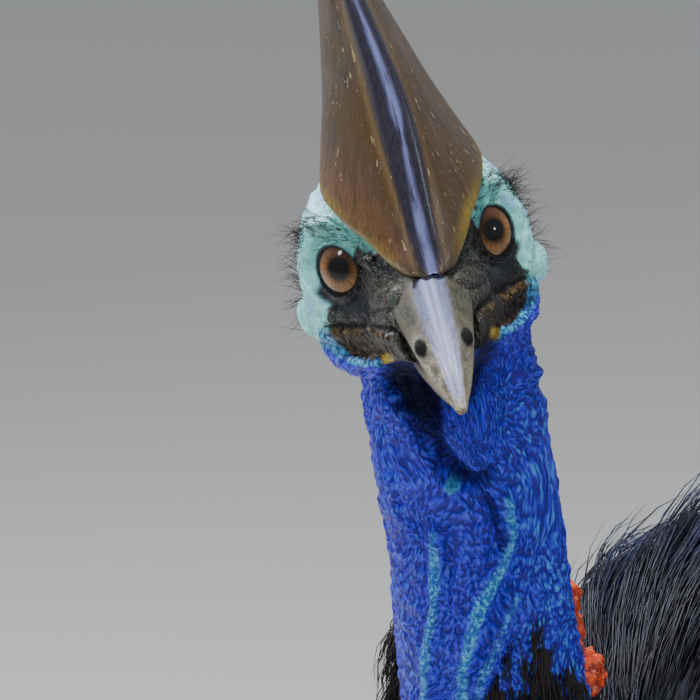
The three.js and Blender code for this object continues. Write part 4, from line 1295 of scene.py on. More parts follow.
def bill_point(t, angle, reach, tip, half, ridge, edge, roof):
    c = np.cos(angle)
    up = mix(along(edge, t), along(ridge, t), (1 + c * reach) / 2)
    narrow = 1 - roof * np.maximum(c, 0)
    left = np.sin(angle) * along(half, t) * narrow * reach
    return in_head(np.stack([left, mix(BILL_ROOT, tip, t), up], -1))


def mark_arch(clay, head):
    """The dark groove where the ridge's horn ends, and the dull horn above it."""
    seen = np.stack([head[:, 0], in_sight(head)], -1)
    away = far_from(seen, BILL_ARCH)
    above = seen[:, 1] - np.interp(seen[:, 0], *np.array(BILL_ARCH).T)
    clay.height -= 0.5 * hump(away, 0.9)
    clay.mark("arch", step(1.0, 0.35, away))
    clay.mark("root", step(-0.3, 0.5, above))


def dress_upper_bill():
    tables = (UPPER_TIP, UPPER_HALF, UPPER_RIDGE, UPPER_EDGE, UPPER_ROOF)
    mesh = mesh_of("bill_top", grown(88, 110, lambda t, a, r: bill_point(t, a, r, *tables)))
    clay = Clay(mesh)
    head = to_head(clay.co)
    t = (head[:, 1] - BILL_ROOT) / (UPPER_TIP - BILL_ROOT)
    half = along(UPPER_HALF, t)
    rise = (head[:, 2] - along(UPPER_EDGE, t)) / (along(UPPER_RIDGE, t) - along(UPPER_EDGE, t))
    side = np.abs(head[:, 0]) / np.maximum(half, 1)
    band = mix(0.38, 0.52, t)
    clay.height += 0.8 * step(band, band * 0.6, side) * step(0.3, 0.6, rise)
    clay.height -= 0.7 * hump(side - band * 1.25, 0.16) * step(0.4, 0.7, rise)
    mark_arch(clay, head)
    hole = np.linalg.norm((folded(head) - NOSTRIL) / NOSTRIL_RADII, axis=-1)
    clay.height -= 3.2 * hump(hole, 0.85)
    chips = step(0.35, 0.08, rise) * step(0.25, 0.5, t)
    clay.height += (0.7 * billow(head / 2.6, 31) + 0.4 * billow(head / 1.4, 32)) * chips
    worn = step(0.9, 0.64, rise + 0.16 * billow(head / 3, 33)) * step(0.35, 0.62, t)
    worn *= mix(1, 0.45, step(0, 4, head[:, 0]))
    clay.mark("culmen", step(band * 1.2, band * 0.85, side) * step(0.35, 0.6, rise))
    clay.mark("edge", np.maximum(worn, step(0.9, 0.99, t)) * step(0.3, 0.6, t))
    clay.mark("streak", hump(side * half - 1.6, 1.3) * step(0.4, 0.6, rise) * step(0.02, 0.1, t))
    # The nostril's opening, which the bill's material paints near black as the shade inside its hollow.
    clay.mark("hole", step(1.12, 0.85, hole))
    clay.lie("lie", head)
    clay.push()
    piece("bill_top", mesh, paint(bill_paint), "bill_horn", "bill_upper")


def dress_lower_bill():
    tables = (LOWER_TIP, LOWER_HALF, LOWER_RIDGE, LOWER_EDGE, 0.0)
    mesh = mesh_of("bill_under", grown(64, 70, lambda t, a, r: bill_point(t, a, r, *tables)))
    clay = Clay(mesh)
    head = to_head(clay.co)
    t = (head[:, 1] - BILL_ROOT) / (LOWER_TIP - BILL_ROOT)
    rise = (head[:, 2] - along(LOWER_EDGE, t)) / (along(LOWER_RIDGE, t) - along(LOWER_EDGE, t))
    clay.mark("edge", step(0.35, 0.7, rise) * step(0.2, 0.5, t))
    for name in ("culmen", "streak", "hole", "arch", "root"):
        clay.mark(name, 0 * t)
    clay.lie("lie", head)
    piece("bill_under", mesh, paint(bill_paint), "bill_horn", "bill_lower")


# Eyes


def dress_eye(side, s):
    """An eyeball whose first pole is the middle of the pupil, with a low dome over the iris."""
    ahead, outward, above = eye_axes(s, *GAZE)
    centre = np.array(EYEBALL) * (s, 1, 1)

    def place(t, angle, reach):
        bulge = EYE_RADIUS + EYE_BULGE * hump(t * math.pi, 0.75)
        ring = np.sin(t * math.pi) * bulge
        spot = centre + ahead * (np.cos(t * math.pi) * bulge)[:, None]
        spot = spot + outward * (np.cos(angle) * ring)[:, None]
        return in_head(spot + above * (np.sin(angle) * ring)[:, None])

    mesh = mesh_of(f"ball_{side}", grown(72, 60, place))
    clay = Clay(mesh)
    out = to_head(clay.co) - centre
    x, y, z = out @ outward, out @ above, out @ ahead
    r = np.hypot(x, y)
    clay.mark("out", np.where(z > 0, r, 20))
    # The height across the eye, from which its material paints the upper lid's shadow on the iris.
    clay.mark("high", y)
    clay.lie("spoke", np.stack([x / np.maximum(r, 0.1), y / np.maximum(r, 0.1), r * 0.1], -1))
    piece(f"ball_{side}", mesh, paint(eye_paint), "eye", f"eye_{side}")


# Caruncles and wattles


def dress_caruncles():
    name = "caruncle_cluster"
    mesh = reskinned(name, mesh_of(name, copy_of("caruncles")), SOFT_CELL, 4)
    clay = Clay(mesh)
    t, _, _, laid = neck_place(clay.co)
    inward = (neck_frame(t)[0] - laid) * (1, 1, 0)
    top = (laid[:, 2] - laid[:, 2].min()) / np.ptp(laid[:, 2])
    laid += unit(inward) * CARUNCLE_SINK - np.array([0, 0, CARUNCLE_DROP]) * top[:, None]
    clay.co = in_body(laid)
    grain = grains(laid / 2.4, 21)
    bulge = grains(laid / 6, 22)
    clay.height += 1.1 * (grain - 0.4) + 1.6 * (bulge - 0.4)
    clay.mark("relief", 0.6 * grain + 0.4 * bulge)
    clay.push()
    piece(name, mesh, paint(caruncle_paint), "caruncle_skin", "caruncles")


def dress_wattle(side):
    name = f"drop_{side}"
    mesh = reskinned(name, mesh_of(name, copy_of(f"wattle_{side}")), SOFT_CELL, 8)
    clay = Clay(mesh)
    laid_out = to_body(clay.co)
    grain = grains(laid_out / (2.6, 2.6, 3.6), 25)
    fold = 1 - np.abs(billow(laid_out / (4, 4, 30), 26))
    clay.height += 0.7 * (grain - 0.5) + 1.1 * (fold - 0.6)
    clay.mark("relief", 0.5 * grain + 0.5 * fold)
    clay.push()
    piece(name, mesh, paint(wattle_paint), "wattle_skin", f"wattle_{side}")


# Body and legs under the plumage


def torso_point(t, angle, reach=1.0):
    back = along(TORSO_BACK, t)
    belly = along(TORSO_BELLY, t)
    x = np.sin(angle) * along(TORSO_HALF, t) * reach
    z = (back + belly) / 2 + np.cos(angle) * (back - belly) / 2 * reach
    return np.stack([x, mix(TORSO_BREAST, TORSO_RUMP, t), z], -1)


def leg_path(path, s):
    path = np.array(path, float) * (s, 1, 1)
    path[:, 1] += STRIDE[s] * np.clip(1 - path[:, 2] / HIP_HEIGHT, 0, 1)
    return path


def limb_skin(path, radii):
    def skin(t, angle, reach=1.0):
        r = along(radii, t)[..., None] * np.asarray(reach)[..., None]
        return along(path, t) + np.stack([np.sin(angle), -np.cos(angle), 0 * angle], -1) * r

    return skin


def dress_body_skin():
    neck = (0.5, 1.0)
    forms = [
        grown(64, 80, lambda t, a, r: in_body(torso_point(t, a, r * 0.985))),
        grown(40, 40, lambda t, a, r: in_body(neck_point(mix(*neck, t), a, r * 0.97))),
    ]
    for s in (1, -1):
        forms.append(hose(in_body(leg_path(THIGH_PATH, s)), np.array(THIGH_RADII) * 0.94, 32, 40))
    mesh = fused("body_skin", forms, BODY_CELL, 3)
    nodes = ("torso", "tail", "thigh_left", "thigh_right")
    piece("body_skin", mesh, paint(plumage_paint), "plumage", *nodes)


def pad_at(s):
    return np.array([s * PAD_PLACE[0], PAD_PLACE[1] + STRIDE[s], 0.0])


def toe_axes(s, aim):
    aim = math.radians(s * aim)
    ahead = np.array([-math.sin(aim), -math.cos(aim), 0])
    return ahead, np.array([-ahead[1], ahead[0], 0])


def laid_form(s, aim, reach_at, radius_at, rise_at, across, down):
    """A tube that lies on the floor from the foot's pad, flat where it meets the floor."""
    ahead, side = toe_axes(s, aim)

    def place(t, angle, reach):
        r = radius_at(t) * reach
        at = pad_at(s) + ahead * reach_at(t)[:, None] + side * (np.sin(angle) * r)[:, None]
        at[:, 2] = np.maximum(rise_at(t) + np.cos(angle) * r, 0)
        return in_body(at)

    return grown(across, down, place)


def toe_form(s, toe):
    aim, length, thick, _, _ = TOES[toe]

    def radius(t):
        return thick * (1 - 0.28 * t) * (1 + 0.045 * np.cos(t * 6 * math.pi))

    return laid_form(s, aim, lambda t: TOE_START + length * t, radius, lambda t: radius(t) * 0.7, 48, 70)


def pad_form(s):
    def place(t, angle, reach):
        ring = np.sin(t * math.pi)
        at = np.stack([np.sin(angle) * ring, np.cos(angle) * ring, np.cos(t * math.pi)], -1) * PAD
        at = at + pad_at(s) + (0, 0, PAD_RISE)
        at[:, 2] = np.maximum(at[:, 2], 0)
        return in_body(at)

    return grown(48, 40, place)


def scutes(laid, normals, s):
    """The height of the scales at each point of a leg, and how far each is from a groove."""
    share = np.clip((SHIN_TOP - laid[:, 2]) / SHIN_LENGTH, 0, 1)
    centre = along(leg_path(SHANK_PATH, s), share)
    ahead = -(normals[:, 1])
    wave = share * SHIN_SCUTES + 0.35 * np.abs(laid[:, 0] - centre[:, 0]) / 15 + 0.15 * billow(laid / 30, 3)
    wide = step(0.05, 0.45, ahead) * step(HOCK - 8, HOCK + 4, laid[:, 2])
    for aim, length, thick, _, _ in TOES.values():
        way, side = toe_axes(s, aim)
        out = laid - pad_at(s)
        run = out @ way
        over = np.abs(out @ side)
        mine = (over < thick * 0.95) & (run > 22) & (run < length + TOE_START + 4) & (laid[:, 2] < HOCK)
        wave = np.where(mine, run / TOE_SCUTE + 0.3 * over / thick, wave)
        wide = np.where(mine, step(0.25, 0.6, normals[:, 2]) * step(22, 30, run), wide)
    tooth = wave % 1
    groove = step(0, 0.14, tooth) * step(1, 0.9, tooth)
    pebble = grains(laid / 5.2, 51)
    height = mix(0.75 * (pebble - 0.5), 1.5 * (tooth - 0.5) * groove, wide)
    return height, mix(0.25 + 0.75 * pebble, groove, wide)


def dress_leg(side, s):
    forms = [hose(in_body(leg_path(SHANK_PATH, s)), SHANK_RADII, 48, 60), pad_form(s)]
    forms += [toe_form(s, toe) for toe in TOES]
    mesh = fused(f"leg_{side}", forms, LEG_CELL, 3)
    clay = Clay(mesh)
    height, relief = scutes(to_body(clay.co), clay.normals, s)
    clay.height += SCUTE_HEIGHT * height
    clay.mark("relief", relief)
    clay.push()
    clay.co[:, 2] = np.maximum(clay.co[:, 2], 0)
    mesh.vertices.foreach_set("co", clay.co.ravel())
    nodes = [f"shank_{side}", f"foot_{side}"] + [f"toe_{toe}_{side}" for toe in TOES]
    piece(f"leg_{side}", mesh, paint(scale_paint), "leg_scales", *nodes)


def dress_claw(toe, side, s):
    aim, length, _, claw, thick = TOES[toe]
    start = TOE_START + length - CLAW_ROOTED

    def radius(t):
        return thick * (1 - 0.93 * t**1.3)

    def rise(t):
        return mix(thick * 1.05, 1, t**1.4)

    form = laid_form(s, aim, lambda t: start + (claw + 2) * t, radius, rise, 40, 60)
    mesh = mesh_of(f"nail_{toe}_{side}", form)
    clay = Clay(mesh)
    ahead, beside = toe_axes(s, aim)
    out = to_body(clay.co) - pad_at(s)
    run = (out @ ahead - start) / claw
    clay.lie("lie", np.stack([out @ beside, out @ ahead, out[:, 2]], -1))
    clay.mark("tip", step(0.7, 1, run))
    piece(mesh.name, mesh, paint(claw_paint), "claw_horn", f"claw_{toe}_{side}")


def quill_path(s, share):
    root = np.array([s * mix(184, 176, share), mix(-62, -104, share), mix(812, 842, share)])
    reach = mix(175, 265, share)
    bend = [(0, 0, 0), (s * 44, 22, -8), (s * 66, reach * 0.42, -reach * 0.34)]
    bend.append((s * 58, reach * 0.72, -reach * 0.78))
    return root + np.array(bend)


def dress_wing(side, s):
    stub = np.array(WING_PATH, float) * (s, 1, 1)
    forms = [hose(in_body(stub), WING_RADII, 24, 30)]
    forms += [hose(in_body(quill_path(s, q / (QUILLS - 1))), QUILL_RADII, 16, 70) for q in range(QUILLS)]
    name = f"quills_{side}"
    piece(name, joined(name, forms), paint(quill_paint), "quill", f"wing_{side}")


# Plumage


def surface(skin, t, angle):
    """Places on a skin and its outward normals there."""
    spot = skin(t, angle)
    ahead = skin(t + 0.01, angle) - skin(t - 0.01, angle)
    round_it = skin(t, angle + 0.03) - skin(t, angle - 0.03)
    normal = unit(np.cross(round_it, ahead))
    middle_line = (skin(t, 0 * angle) + skin(t, 0 * angle + math.pi)) / 2
    inward = np.sum(normal * (spot - middle_line), -1) < 0
    normal[inward] *= -1
    return spot, normal


def share_of_gap(skin, t, gap):
    """The share of a skin's length that a gap takes up at t, measured on its side."""
    here, ahead = (skin(np.array([at]), np.array([0.6])) for at in (t, t + 0.01))
    return gap / max(np.linalg.norm(ahead - here) * 100, 1)


def rows_on(skin, rng, span, gap):
    """Scattered places in rows, about a gap apart: their shares of the length and angles."""
    t, high = span
    t_all, angle_all = [], []
    while t < high:
        ring = skin(np.full(24, t), np.linspace(-math.pi, math.pi, 24))
        girth = np.linalg.norm(np.diff(ring, axis=0), axis=-1).sum()
        count = max(3, int(girth / gap))
        angle_all.append((np.arange(count) + rng.random(count)) / count * 2 * math.pi - math.pi)
        step_t = share_of_gap(skin, t, gap)
        t_all.append(t + rng.random(count) * step_t)
        t += step_t
    return np.concatenate(t_all), np.concatenate(angle_all)


def plume_middles(root, normal, lie, shape, length):
    """The middle line of each plume, bent by its lift, its droop and its sweep to the back."""
    shares = shape["shares"]
    sweep = shape.get("sweep", np.zeros(len(root)))
    path = [root - normal * PLUME_SUNK]
    for a, b in zip(shares[:-1], shares[1:]):
        share = (a + b) / 2
        heading = lie + normal * (shape["lift"] * (1 - 1.5 * share))[:, None]
        heading = heading + np.array([0, 0, -1.0]) * (shape["droop"] * share)[:, None]
        heading = unit(heading + np.array([0, 1.0, 0]) * (sweep * share)[:, None])
        path.append(path[-1] + heading * (length * (b - a))[:, None])
    return np.stack(path, 1)


def strand_paths(rng, root, normal, lie, shape):
    """Paths of the strands of many plumes, in millimetres. A plume's strands start round its root
    and draw together towards its tip, and each is a little wavy, bent and shortened."""
    size = (len(root), shape["strands"])
    reach = np.array(shape["shares"])[None, None, :, None]
    length = shape["length"] * (0.82 + 0.36 * rng.random(len(root)))
    path = plume_middles(root, normal, lie, shape, length)
    across = unit(np.cross(lie, normal))
    start = rng.normal(size=(*size, 2)) * shape["spread"]
    offset = start[..., :1] * across[:, None] + start[..., 1:] * lie[:, None]
    rise = rng.normal(size=(*size, 1)) * 0.35 * shape["spread"] * normal[:, None]
    strands = path[:, None] + offset[:, :, None] * (1 - shape["clump"] * reach)
    strands = strands + rise[:, :, None] * reach
    wave = rng.normal(size=(*size, len(shape["shares"]), 1)) * reach
    strands = strands + wave * 0.3 * across[:, None, None]
    for way, share in ((across, 0.045), (normal, 0.035)):
        bend = rng.normal(size=(*size, 1, 1)) * reach**2 * (length * share)[:, None, None, None]
        strands = strands + bend * way[:, None, None]
    cut = 1 - 0.35 * rng.random((*size, 1, 1)) ** 2
    strands = strands[:, :, :1] + (strands - strands[:, :, :1]) * cut
    return strands.reshape(-1, *strands.shape[2:])


def strand_points(paths, width):
    """The corners of three-sided strands round their paths, each tapered to a point."""
    n, points = paths.shape[:2]
    rings = points - 1
    ahead = unit(np.gradient(paths, axis=1))
    beside = unit(np.cross(ahead, [0.31, 0.17, 0.93]))
    above = np.cross(ahead, beside)
    turn = np.arange(3) * 2 * math.pi / 3
    taper = np.interp(np.arange(rings) / rings, [0, 0.3, 0.65, 1], [0.75, 1, 0.8, 0.45])
    half = (width[:, None] * taper / 2)[:, :, None, None]
    ring = np.cos(turn)[:, None] * beside[:, :rings, None] + np.sin(turn)[:, None] * above[:, :rings, None]
    body = (paths[:, :rings, None] + ring * half).reshape(n, rings * 3, 3)
    return np.concatenate([body, paths[:, -1:]], 1)


def strand_faces(rings):
    """The faces of one strand, by the numbers of its corners: its foot, its sides and its tip."""
    faces = [(0, 2, 1)]
    for r in range(rings - 1):
        for k in range(3):
            a, b = r * 3 + k, r * 3 + (k + 1) % 3
            faces.append((a, b, b + 3, a + 3))
    last = (rings - 1) * 3
    for k in range(3):
        faces.append((last + k, last + (k + 1) % 3, rings * 3))
    return faces


def strand_mesh(name, paths, width, patch):
    """Joins closed strands into one mesh. The paths are in metres, and patch holds each root's place
    on the skin's own unwrap."""
    co = strand_points(paths, width)
    n, corners_each = co.shape[:2]
    rings = paths.shape[1] - 1
    faces = strand_faces(rings)
    counts = np.array([len(f) for f in faces])
    flat = np.concatenate([np.array(f) for f in faces])
    corners = (flat[None] + np.arange(n)[:, None] * corners_each).ravel()
    starts = np.concatenate([[0], np.cumsum(counts)[:-1]])
    starts = (starts[None] + np.arange(n)[:, None] * counts.sum()).ravel()
    mesh = bpy.data.meshes.new(name)
    mesh.vertices.add(n * corners_each)
    mesh.vertices.foreach_set("co", co.astype(np.float32).ravel())
    mesh.loops.add(len(corners))
    mesh.loops.foreach_set("vertex_index", corners.astype(np.int32))
    mesh.polygons.add(len(starts))
    mesh.polygons.foreach_set("loop_start", starts.astype(np.int32))
    layer = mesh.uv_layers.new(name="OFBake")
    within = np.stack([(flat % 3) / 2.0, flat / (rings * 3)], -1) * BAKE_PATCH
    uv = np.clip(patch[:, None] * 0.99 + within[None], 0, 1)
    layer.data.foreach_set("uv", uv.astype(np.float32).ravel())
    tip = np.append(np.repeat(np.arange(rings) / rings, 3), 1)
    shares = mesh.attributes.new("tip", "FLOAT", "POINT")
    shares.data.foreach_set("value", np.tile(tip, n).astype(np.float32))
    mesh.update(calc_edges=True)
    return mesh


def drawn_in(values, reach, give):
    """Values beyond a reach brought back, so that none passes it by more than it gives."""
    over = np.maximum(np.abs(values) - reach, 0)
    return values - np.sign(values) * (over - give * (1 - np.exp(-over / give)))


def coat(name, rng, skin, lie_of, t, angle, shape, make=plumage_paint):
    """Grows the plumes rooted at t and angle on a skin, in as many pieces as their size needs."""
    spot, normal = surface(skin, t, angle)
    lie = lie_of(t, angle)
    lie = unit(lie - normal * np.sum(lie * normal, -1, keepdims=True))
    lie = unit(lie + rng.normal(size=lie.shape) * shape["sway"])
    paths = strand_paths(rng, spot, normal, lie, shape)
    unwrap = np.stack([angle / (2 * math.pi) + 0.5, np.clip(t, 0, 1)], -1)
    patch = np.repeat(unwrap, shape["strands"], 0)
    widths = shape["width"] * MM * (0.7 + 0.6 * rng.random(len(paths)))
    paths[..., 0] = drawn_in(paths[..., 0], SIDE_REACH, SIDE_GIVE)
    paths[..., 1] = drawn_in(paths[..., 1], TAIL_REACH, TAIL_GIVE)
    paths = in_body(paths.reshape(-1, 3)).reshape(paths.shape)
    paths[..., 2] = np.maximum(paths[..., 2], LOWEST_TIP)
    triangles = 6 * paths.shape[1] - 8
    parts = max(1, math.ceil(len(paths) * triangles / PIECE_TRIANGLES))
    for k, rows in enumerate(np.array_split(np.arange(len(paths)), parts)):
        part_name = f"{name}_{k + 1}" if parts > 1 else name
        mesh = strand_mesh(part_name, paths[rows], widths[rows], patch[rows])
        piece(part_name, mesh, paint(make), "plumage")


def torso_lie(t, angle):
    """Backwards and down the sides, but away from the neck's root all round it."""
    fall = 0.2 + 0.75 * np.abs(np.sin(angle)) + 0.5 * t
    back = unit(np.stack([0 * t, 1 + 0 * t, -fall], -1))
    away = unit(torso_point(t, angle) - NECK_ROOT) + (0, 0.3, 0)
    return mix(back, away, step(0.38, 0.12, t)[:, None])


def torso_shape(t, angle, plume):
    """Plumes that are shorter towards the neck, and longer and more drooping down the sides."""
    side = np.abs(np.sin(angle))
    front = step(0.45, 0.05, t)
    return dict(
        plume,
        length=mix(mix(135, 190, t) + 45 * side, 96 + 20 * side, front),
        lift=mix(0.26 - 0.05 * side, 0.18, front),
        droop=mix(0.35 + 0.7 * side, 0.3 + 0.5 * side, front),
        sweep=front,
    )


def near_view(t, angle):
    """Where the torso is seen from close by: mantle and left shoulder."""
    return (t < 0.42) & (angle > -1.1) & (angle < 1.7)


def dress_torso():
    rng = np.random.default_rng(sizes().seed)
    t, angle = rows_on(torso_point, rng, (0.03, TAIL_FROM), sizes().plume_gap / MM)
    far = ~near_view(t, angle)
    regions = {
        "coat_back": far & (np.abs(angle) < 0.8),
        "coat_left": far & (angle >= 0.8),
        "coat_right": far & (angle <= -0.8),
    }
    for name, rows in regions.items():
        shape = torso_shape(t[rows], angle[rows], BACK_PLUME)
        coat(name, rng, torso_point, torso_lie, t[rows], angle[rows], shape)


def dress_mantle():
    rng = np.random.default_rng(sizes().seed + 1)
    t, angle = rows_on(torso_point, rng, (0.02, 0.42), sizes().near_gap / MM)
    rows = near_view(t, angle)
    t, angle = t[rows], angle[rows]
    coat("coat_mantle", rng, torso_point, torso_lie, t, angle, torso_shape(t, angle, MANTLE_PLUME))


def dress_tail():
    rng = np.random.default_rng(sizes().seed + 2)

    def lie(t, angle):
        return np.stack([0 * t, 1 + 0 * t, -0.7 - np.abs(np.sin(angle))], -1)

    t, angle = rows_on(torso_point, rng, (TAIL_FROM, 0.97), TAIL_GAP)
    one = np.ones(len(t))
    shape = dict(TAIL_PLUME, length=190 * one, lift=0.3 * one, droop=1.5 * one)
    coat("coat_tail", rng, torso_point, lie, t, angle, shape)


def dress_neck_coat():
    """Short feathers that begin in a wedge up the neck's front and grow longer towards its root."""
    rng = np.random.default_rng(sizes().seed + 3)

    def lie(t, angle):
        return np.stack([0 * t, 0.1 + 0 * t, -1 + 0 * t], -1)

    t, angle = rows_on(neck_point, rng, (FEATHERED_FROM - 0.18, 0.92), NECK_GAP)
    wedge = np.maximum(1 - np.abs(angle - 0.7) / 1.45, 0)
    edge = FEATHERED_FROM - 0.155 * wedge - 0.11 * hump(angle + 2.1, 0.6)
    rows = t > edge - 0.05 * hump(angle - 2.7, 0.35) + rng.random(len(t)) ** 3 * 0.03
    rows &= rng.random(len(t)) < mix(1, 0.42, step(0.5, 0.62, t))
    t, angle = t[rows], angle[rows]
    grow = np.clip((t - edge[rows]) / 0.3, 0, 1)
    lift = mix(0.5, 0.3, grow) + 0.5 * hump(angle + 1.9, 0.5)
    length = mix(20, 95, grow) + 14 * hump(angle + 1.9, 0.5)
    shape = dict(NECK_PLUME, length=length, lift=lift, droop=0.4 + 0 * t)
    coat("coat_neck", rng, neck_point, lie, t, angle, shape, down_paint)


def dress_limb_coat(name, rng, path, radii, span, lengths):
    def lie(t, angle):
        return unit(along(path, t + 0.02) - along(path, t - 0.02))

    skin = limb_skin(path, radii)
    t, angle = rows_on(skin, rng, span, LIMB_GAP)
    shape = dict(LIMB_PLUME, length=mix(*lengths, t), lift=0.22 + 0 * t, droop=0.1 + 0 * t)
    coat(name, rng, skin, lie, t, angle, shape)


def dress_limb_coats():
    for side, s in SIDES.items():
        rng = np.random.default_rng(sizes().seed + 4 + s)
        path = leg_path(THIGH_PATH, s)
        dress_limb_coat(f"coat_thigh_{side}", rng, path, THIGH_RADII, (0.1, 0.97), (95, 42))
        path = np.array(WING_PATH, float) * (s, 1, 1)
        dress_limb_coat(f"coat_wing_{side}", rng, path, WING_RADII, (0.02, 1), (75, 95))


def hair_paths(rng, tree, s, spine, count, scatter, way, length, lift):
    """Bent hairs rooted on the skin nearest to a spine and combed one way, in metres."""
    spots = along(np.array(spine, float), rng.random(count))
    spots = spots + rng.normal(size=(count, 3)) * scatter / 2
    found = [tree.find_nearest(Vector(spot)) for spot in in_head(spots * (s, 1, 1))]
    root = np.array([f[0] for f in found])
    normal = np.array([f[1] for f in found])
    heading = unit(in_head([np.array(way) * (s, 1, 1)])[0] - in_head([(0, 0, 0)])[0])
    heading = heading - normal * (normal @ heading)[:, None]
    heading = unit(unit(heading) + normal * lift + rng.normal(size=(count, 3)) * 0.16)
    reach = mix(*length, rng.random(count) ** 1.5)[:, None] * MM
    bent = unit(heading + rng.normal(size=(count, 3)) * 0.2 + np.array([0, 0, -0.12]))
    start = root - normal * 0.4 * MM
    return np.stack([start, start + heading * reach / 2, start + (heading + bent) * reach / 2], 1)


def dress_hairs(skin):
    rng = np.random.default_rng(sizes().seed + 9)
    corners = [v.co for v in skin.data.vertices]
    tree = BVHTree.FromPolygons(corners, [tuple(f.vertices) for f in skin.data.polygons])
    paths = np.concatenate([hair_paths(rng, tree, s, *row) for row in HAIRS for s in (1, -1)])
    width = HAIR_WIDTH * (0.7 + 0.6 * rng.random(len(paths)))
    root = to_head(paths[:, 0])
    patch = np.stack([root[:, 0] / 110 + 0.5, (root[:, 2] + 80) / 130], -1)
    piece("hairs", strand_mesh("hairs", paths, width, patch), paint(bristle_paint), "pale_skin")


# Stage


def view_axes():
    turn = math.radians(HEAD_TURN)
    rise = math.radians(SIGHT_RISE)
    right = Vector((math.cos(turn), math.sin(turn), 0))
    back = Vector((math.sin(turn) * math.cos(rise), -math.cos(turn) * math.cos(rise), math.sin(rise)))
    return right, back.cross(right), back


def set_camera():
    right, up, back = view_axes()
    at = HEAD_AT + (CAMERA_BACK * back - EYES_RIGHT * right - EYES_ABOVE * up) * MM
    data = bpy.data.cameras.new("camera")
    data.sensor_width = SENSOR
    data.lens = SENSOR * CAMERA_BACK / CAMERA_FRAME
    data.clip_end = 200
    camera = bpy.data.objects.new("camera", data)
    camera.matrix_world = Matrix.Translation(at) @ Matrix((right, up, back)).transposed().to_4x4()
    bpy.context.collection.objects.link(camera)
    bpy.context.scene.camera = camera


def set_light(name, offset, size, power, colour):
    """A soft round lamp at an offset from the head along the view's right, up and back, in metres."""
    right, up, back = view_axes()
    at = HEAD_AT + right * offset[0] + up * offset[1] + back * offset[2]
    data = bpy.data.lights.new(name, "AREA")
    data.shape = "DISK"
    data.size = size
    data.energy = power
    data.color = colour
    lamp = bpy.data.objects.new(name, data)
    lamp.matrix_world = Matrix.Translation(at) @ (HEAD_AT - at).to_track_quat("-Z", "Y").to_matrix().to_4x4()
    bpy.context.collection.objects.link(lamp)


def set_stage():
    bm = bmesh.new()
    bmesh.ops.create_grid(bm, x_segments=1, y_segments=1, size=FLOOR_SIZE / 2)
    floor = bpy.data.objects.new("floor", mesh_of("floor", bm))
    p = Paint("floor", Roughness=0.9)
    p.colour(p.blend(p.noise(0.4, 2), (0.62, 0.62, 0.6), (0.68, 0.68, 0.66)))
    floor.data.materials.append(p.material)
    bpy.context.collection.objects.link(floor)
    world = bpy.data.worlds.new("studio")
    bpy.context.scene.world = world
    world.use_nodes = True
    world.node_tree.nodes["Background"].inputs["Color"].default_value = SKY
    world.node_tree.nodes["Background"].inputs["Strength"].default_value = SKY_STRENGTH
    for name, lamp in LAMPS.items():
        set_light(name, *lamp)


# Operators


class CASSOWARY_OT_stage(bpy.types.Operator):
    """Set the floor, the lights and the camera"""

    bl_idname = "cassowary.stage"
    bl_label = "Stage"
    bl_options = {"REGISTER", "UNDO"}

    def execute(self, context):
        set_camera()
        set_stage()
        return {"FINISHED"}


class CASSOWARY_OT_skin(bpy.types.Operator):
    """Make the bare skin of head and neck, and its hairs"""

    bl_idname = "cassowary.skin"
    bl_label = "Head and neck skin"
    bl_options = {"REGISTER", "UNDO"}

    def execute(self, context):
        dress_hairs(dress_head())
        return {"FINISHED"}


class CASSOWARY_OT_casque(bpy.types.Operator):
    """Make the casque"""

    bl_idname = "cassowary.casque"
    bl_label = "Casque"
    bl_options = {"REGISTER", "UNDO"}

    def execute(self, context):
        dress_casque()
        return {"FINISHED"}


class CASSOWARY_OT_bill(bpy.types.Operator):
    """Make both halves of the bill"""

    bl_idname = "cassowary.bill"
    bl_label = "Bill"
    bl_options = {"REGISTER", "UNDO"}

    def execute(self, context):
        dress_upper_bill()
        dress_lower_bill()
        return {"FINISHED"}


class CASSOWARY_OT_eyes(bpy.types.Operator):
    """Make the eyes"""

    bl_idname = "cassowary.eyes"
    bl_label = "Eyes"
    bl_options = {"REGISTER", "UNDO"}

    def execute(self, context):
        for side, s in SIDES.items():
            dress_eye(side, s)
        return {"FINISHED"}


class CASSOWARY_OT_trimmings(bpy.types.Operator):
    """Make the caruncles and wattles"""

    bl_idname = "cassowary.trimmings"
    bl_label = "Caruncles and wattles"
    bl_options = {"REGISTER", "UNDO"}

    def execute(self, context):
        dress_caruncles()
        for side in SIDES:
            dress_wattle(side)
        return {"FINISHED"}


class CASSOWARY_OT_legs(bpy.types.Operator):
    """Make the scaly legs with their claws"""

    bl_idname = "cassowary.legs"
    bl_label = "Legs and claws"
    bl_options = {"REGISTER", "UNDO"}

    def execute(self, context):
        for side, s in SIDES.items():
            dress_leg(side, s)
            for toe in TOES:
                dress_claw(toe, side, s)
        return {"FINISHED"}


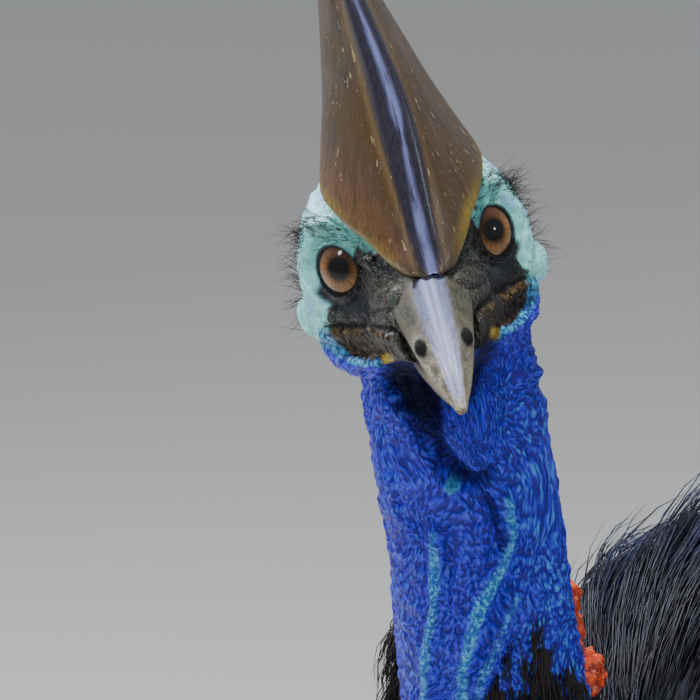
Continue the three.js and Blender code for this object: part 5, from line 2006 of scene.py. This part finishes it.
class CASSOWARY_OT_wings(bpy.types.Operator):
    """Make the wings' stubs and bare quills"""

    bl_idname = "cassowary.wings"
    bl_label = "Wings"
    bl_options = {"REGISTER", "UNDO"}

    def execute(self, context):
        for side, s in SIDES.items():
            dress_wing(side, s)
        return {"FINISHED"}


class CASSOWARY_OT_plumage(bpy.types.Operator):
    """Make the dark skin of the body and the plumage on it"""

    bl_idname = "cassowary.plumage"
    bl_label = "Plumage"
    bl_options = {"REGISTER", "UNDO"}

    def execute(self, context):
        dress_body_skin()
        dress_torso()
        dress_mantle()
        dress_tail()
        dress_neck_coat()
        dress_limb_coats()
        return {"FINISHED"}


OPERATORS = (
    CASSOWARY_OT_stage,
    CASSOWARY_OT_skin,
    CASSOWARY_OT_casque,
    CASSOWARY_OT_bill,
    CASSOWARY_OT_eyes,
    CASSOWARY_OT_trimmings,
    CASSOWARY_OT_legs,
    CASSOWARY_OT_wings,
    CASSOWARY_OT_plumage,
)


class CASSOWARY_PT_panel(bpy.types.Panel):
    """Lists the bird's pieces"""

    bl_idname = "CASSOWARY_PT_panel"
    bl_label = "Cassowary"
    bl_space_type = "VIEW_3D"
    bl_region_type = "UI"
    bl_category = "Cassowary"

    def draw(self, context):
        for operator in OPERATORS:
            self.layout.operator(operator.bl_idname)
        for group in (context.scene.cassowary_sizes, context.scene.cassowary_colours):
            for key in group.__annotations__:
                self.layout.prop(group, key)


CLASSES = (CassowarySizes, CassowaryColours, *OPERATORS, CASSOWARY_PT_panel)


def register():
    for cls in CLASSES:
        bpy.utils.register_class(cls)
    bpy.types.Scene.cassowary_sizes = PointerProperty(type=CassowarySizes)
    bpy.types.Scene.cassowary_colours = PointerProperty(type=CassowaryColours)


def unregister():
    del bpy.types.Scene.cassowary_sizes
    del bpy.types.Scene.cassowary_colours
    for cls in reversed(CLASSES):
        bpy.utils.unregister_class(cls)


def main():
    register()
    for operator in OPERATORS:
        group, name = operator.bl_idname.split(".")
        getattr(getattr(bpy.ops, group), name)()


if __name__ == "__main__":
    main()
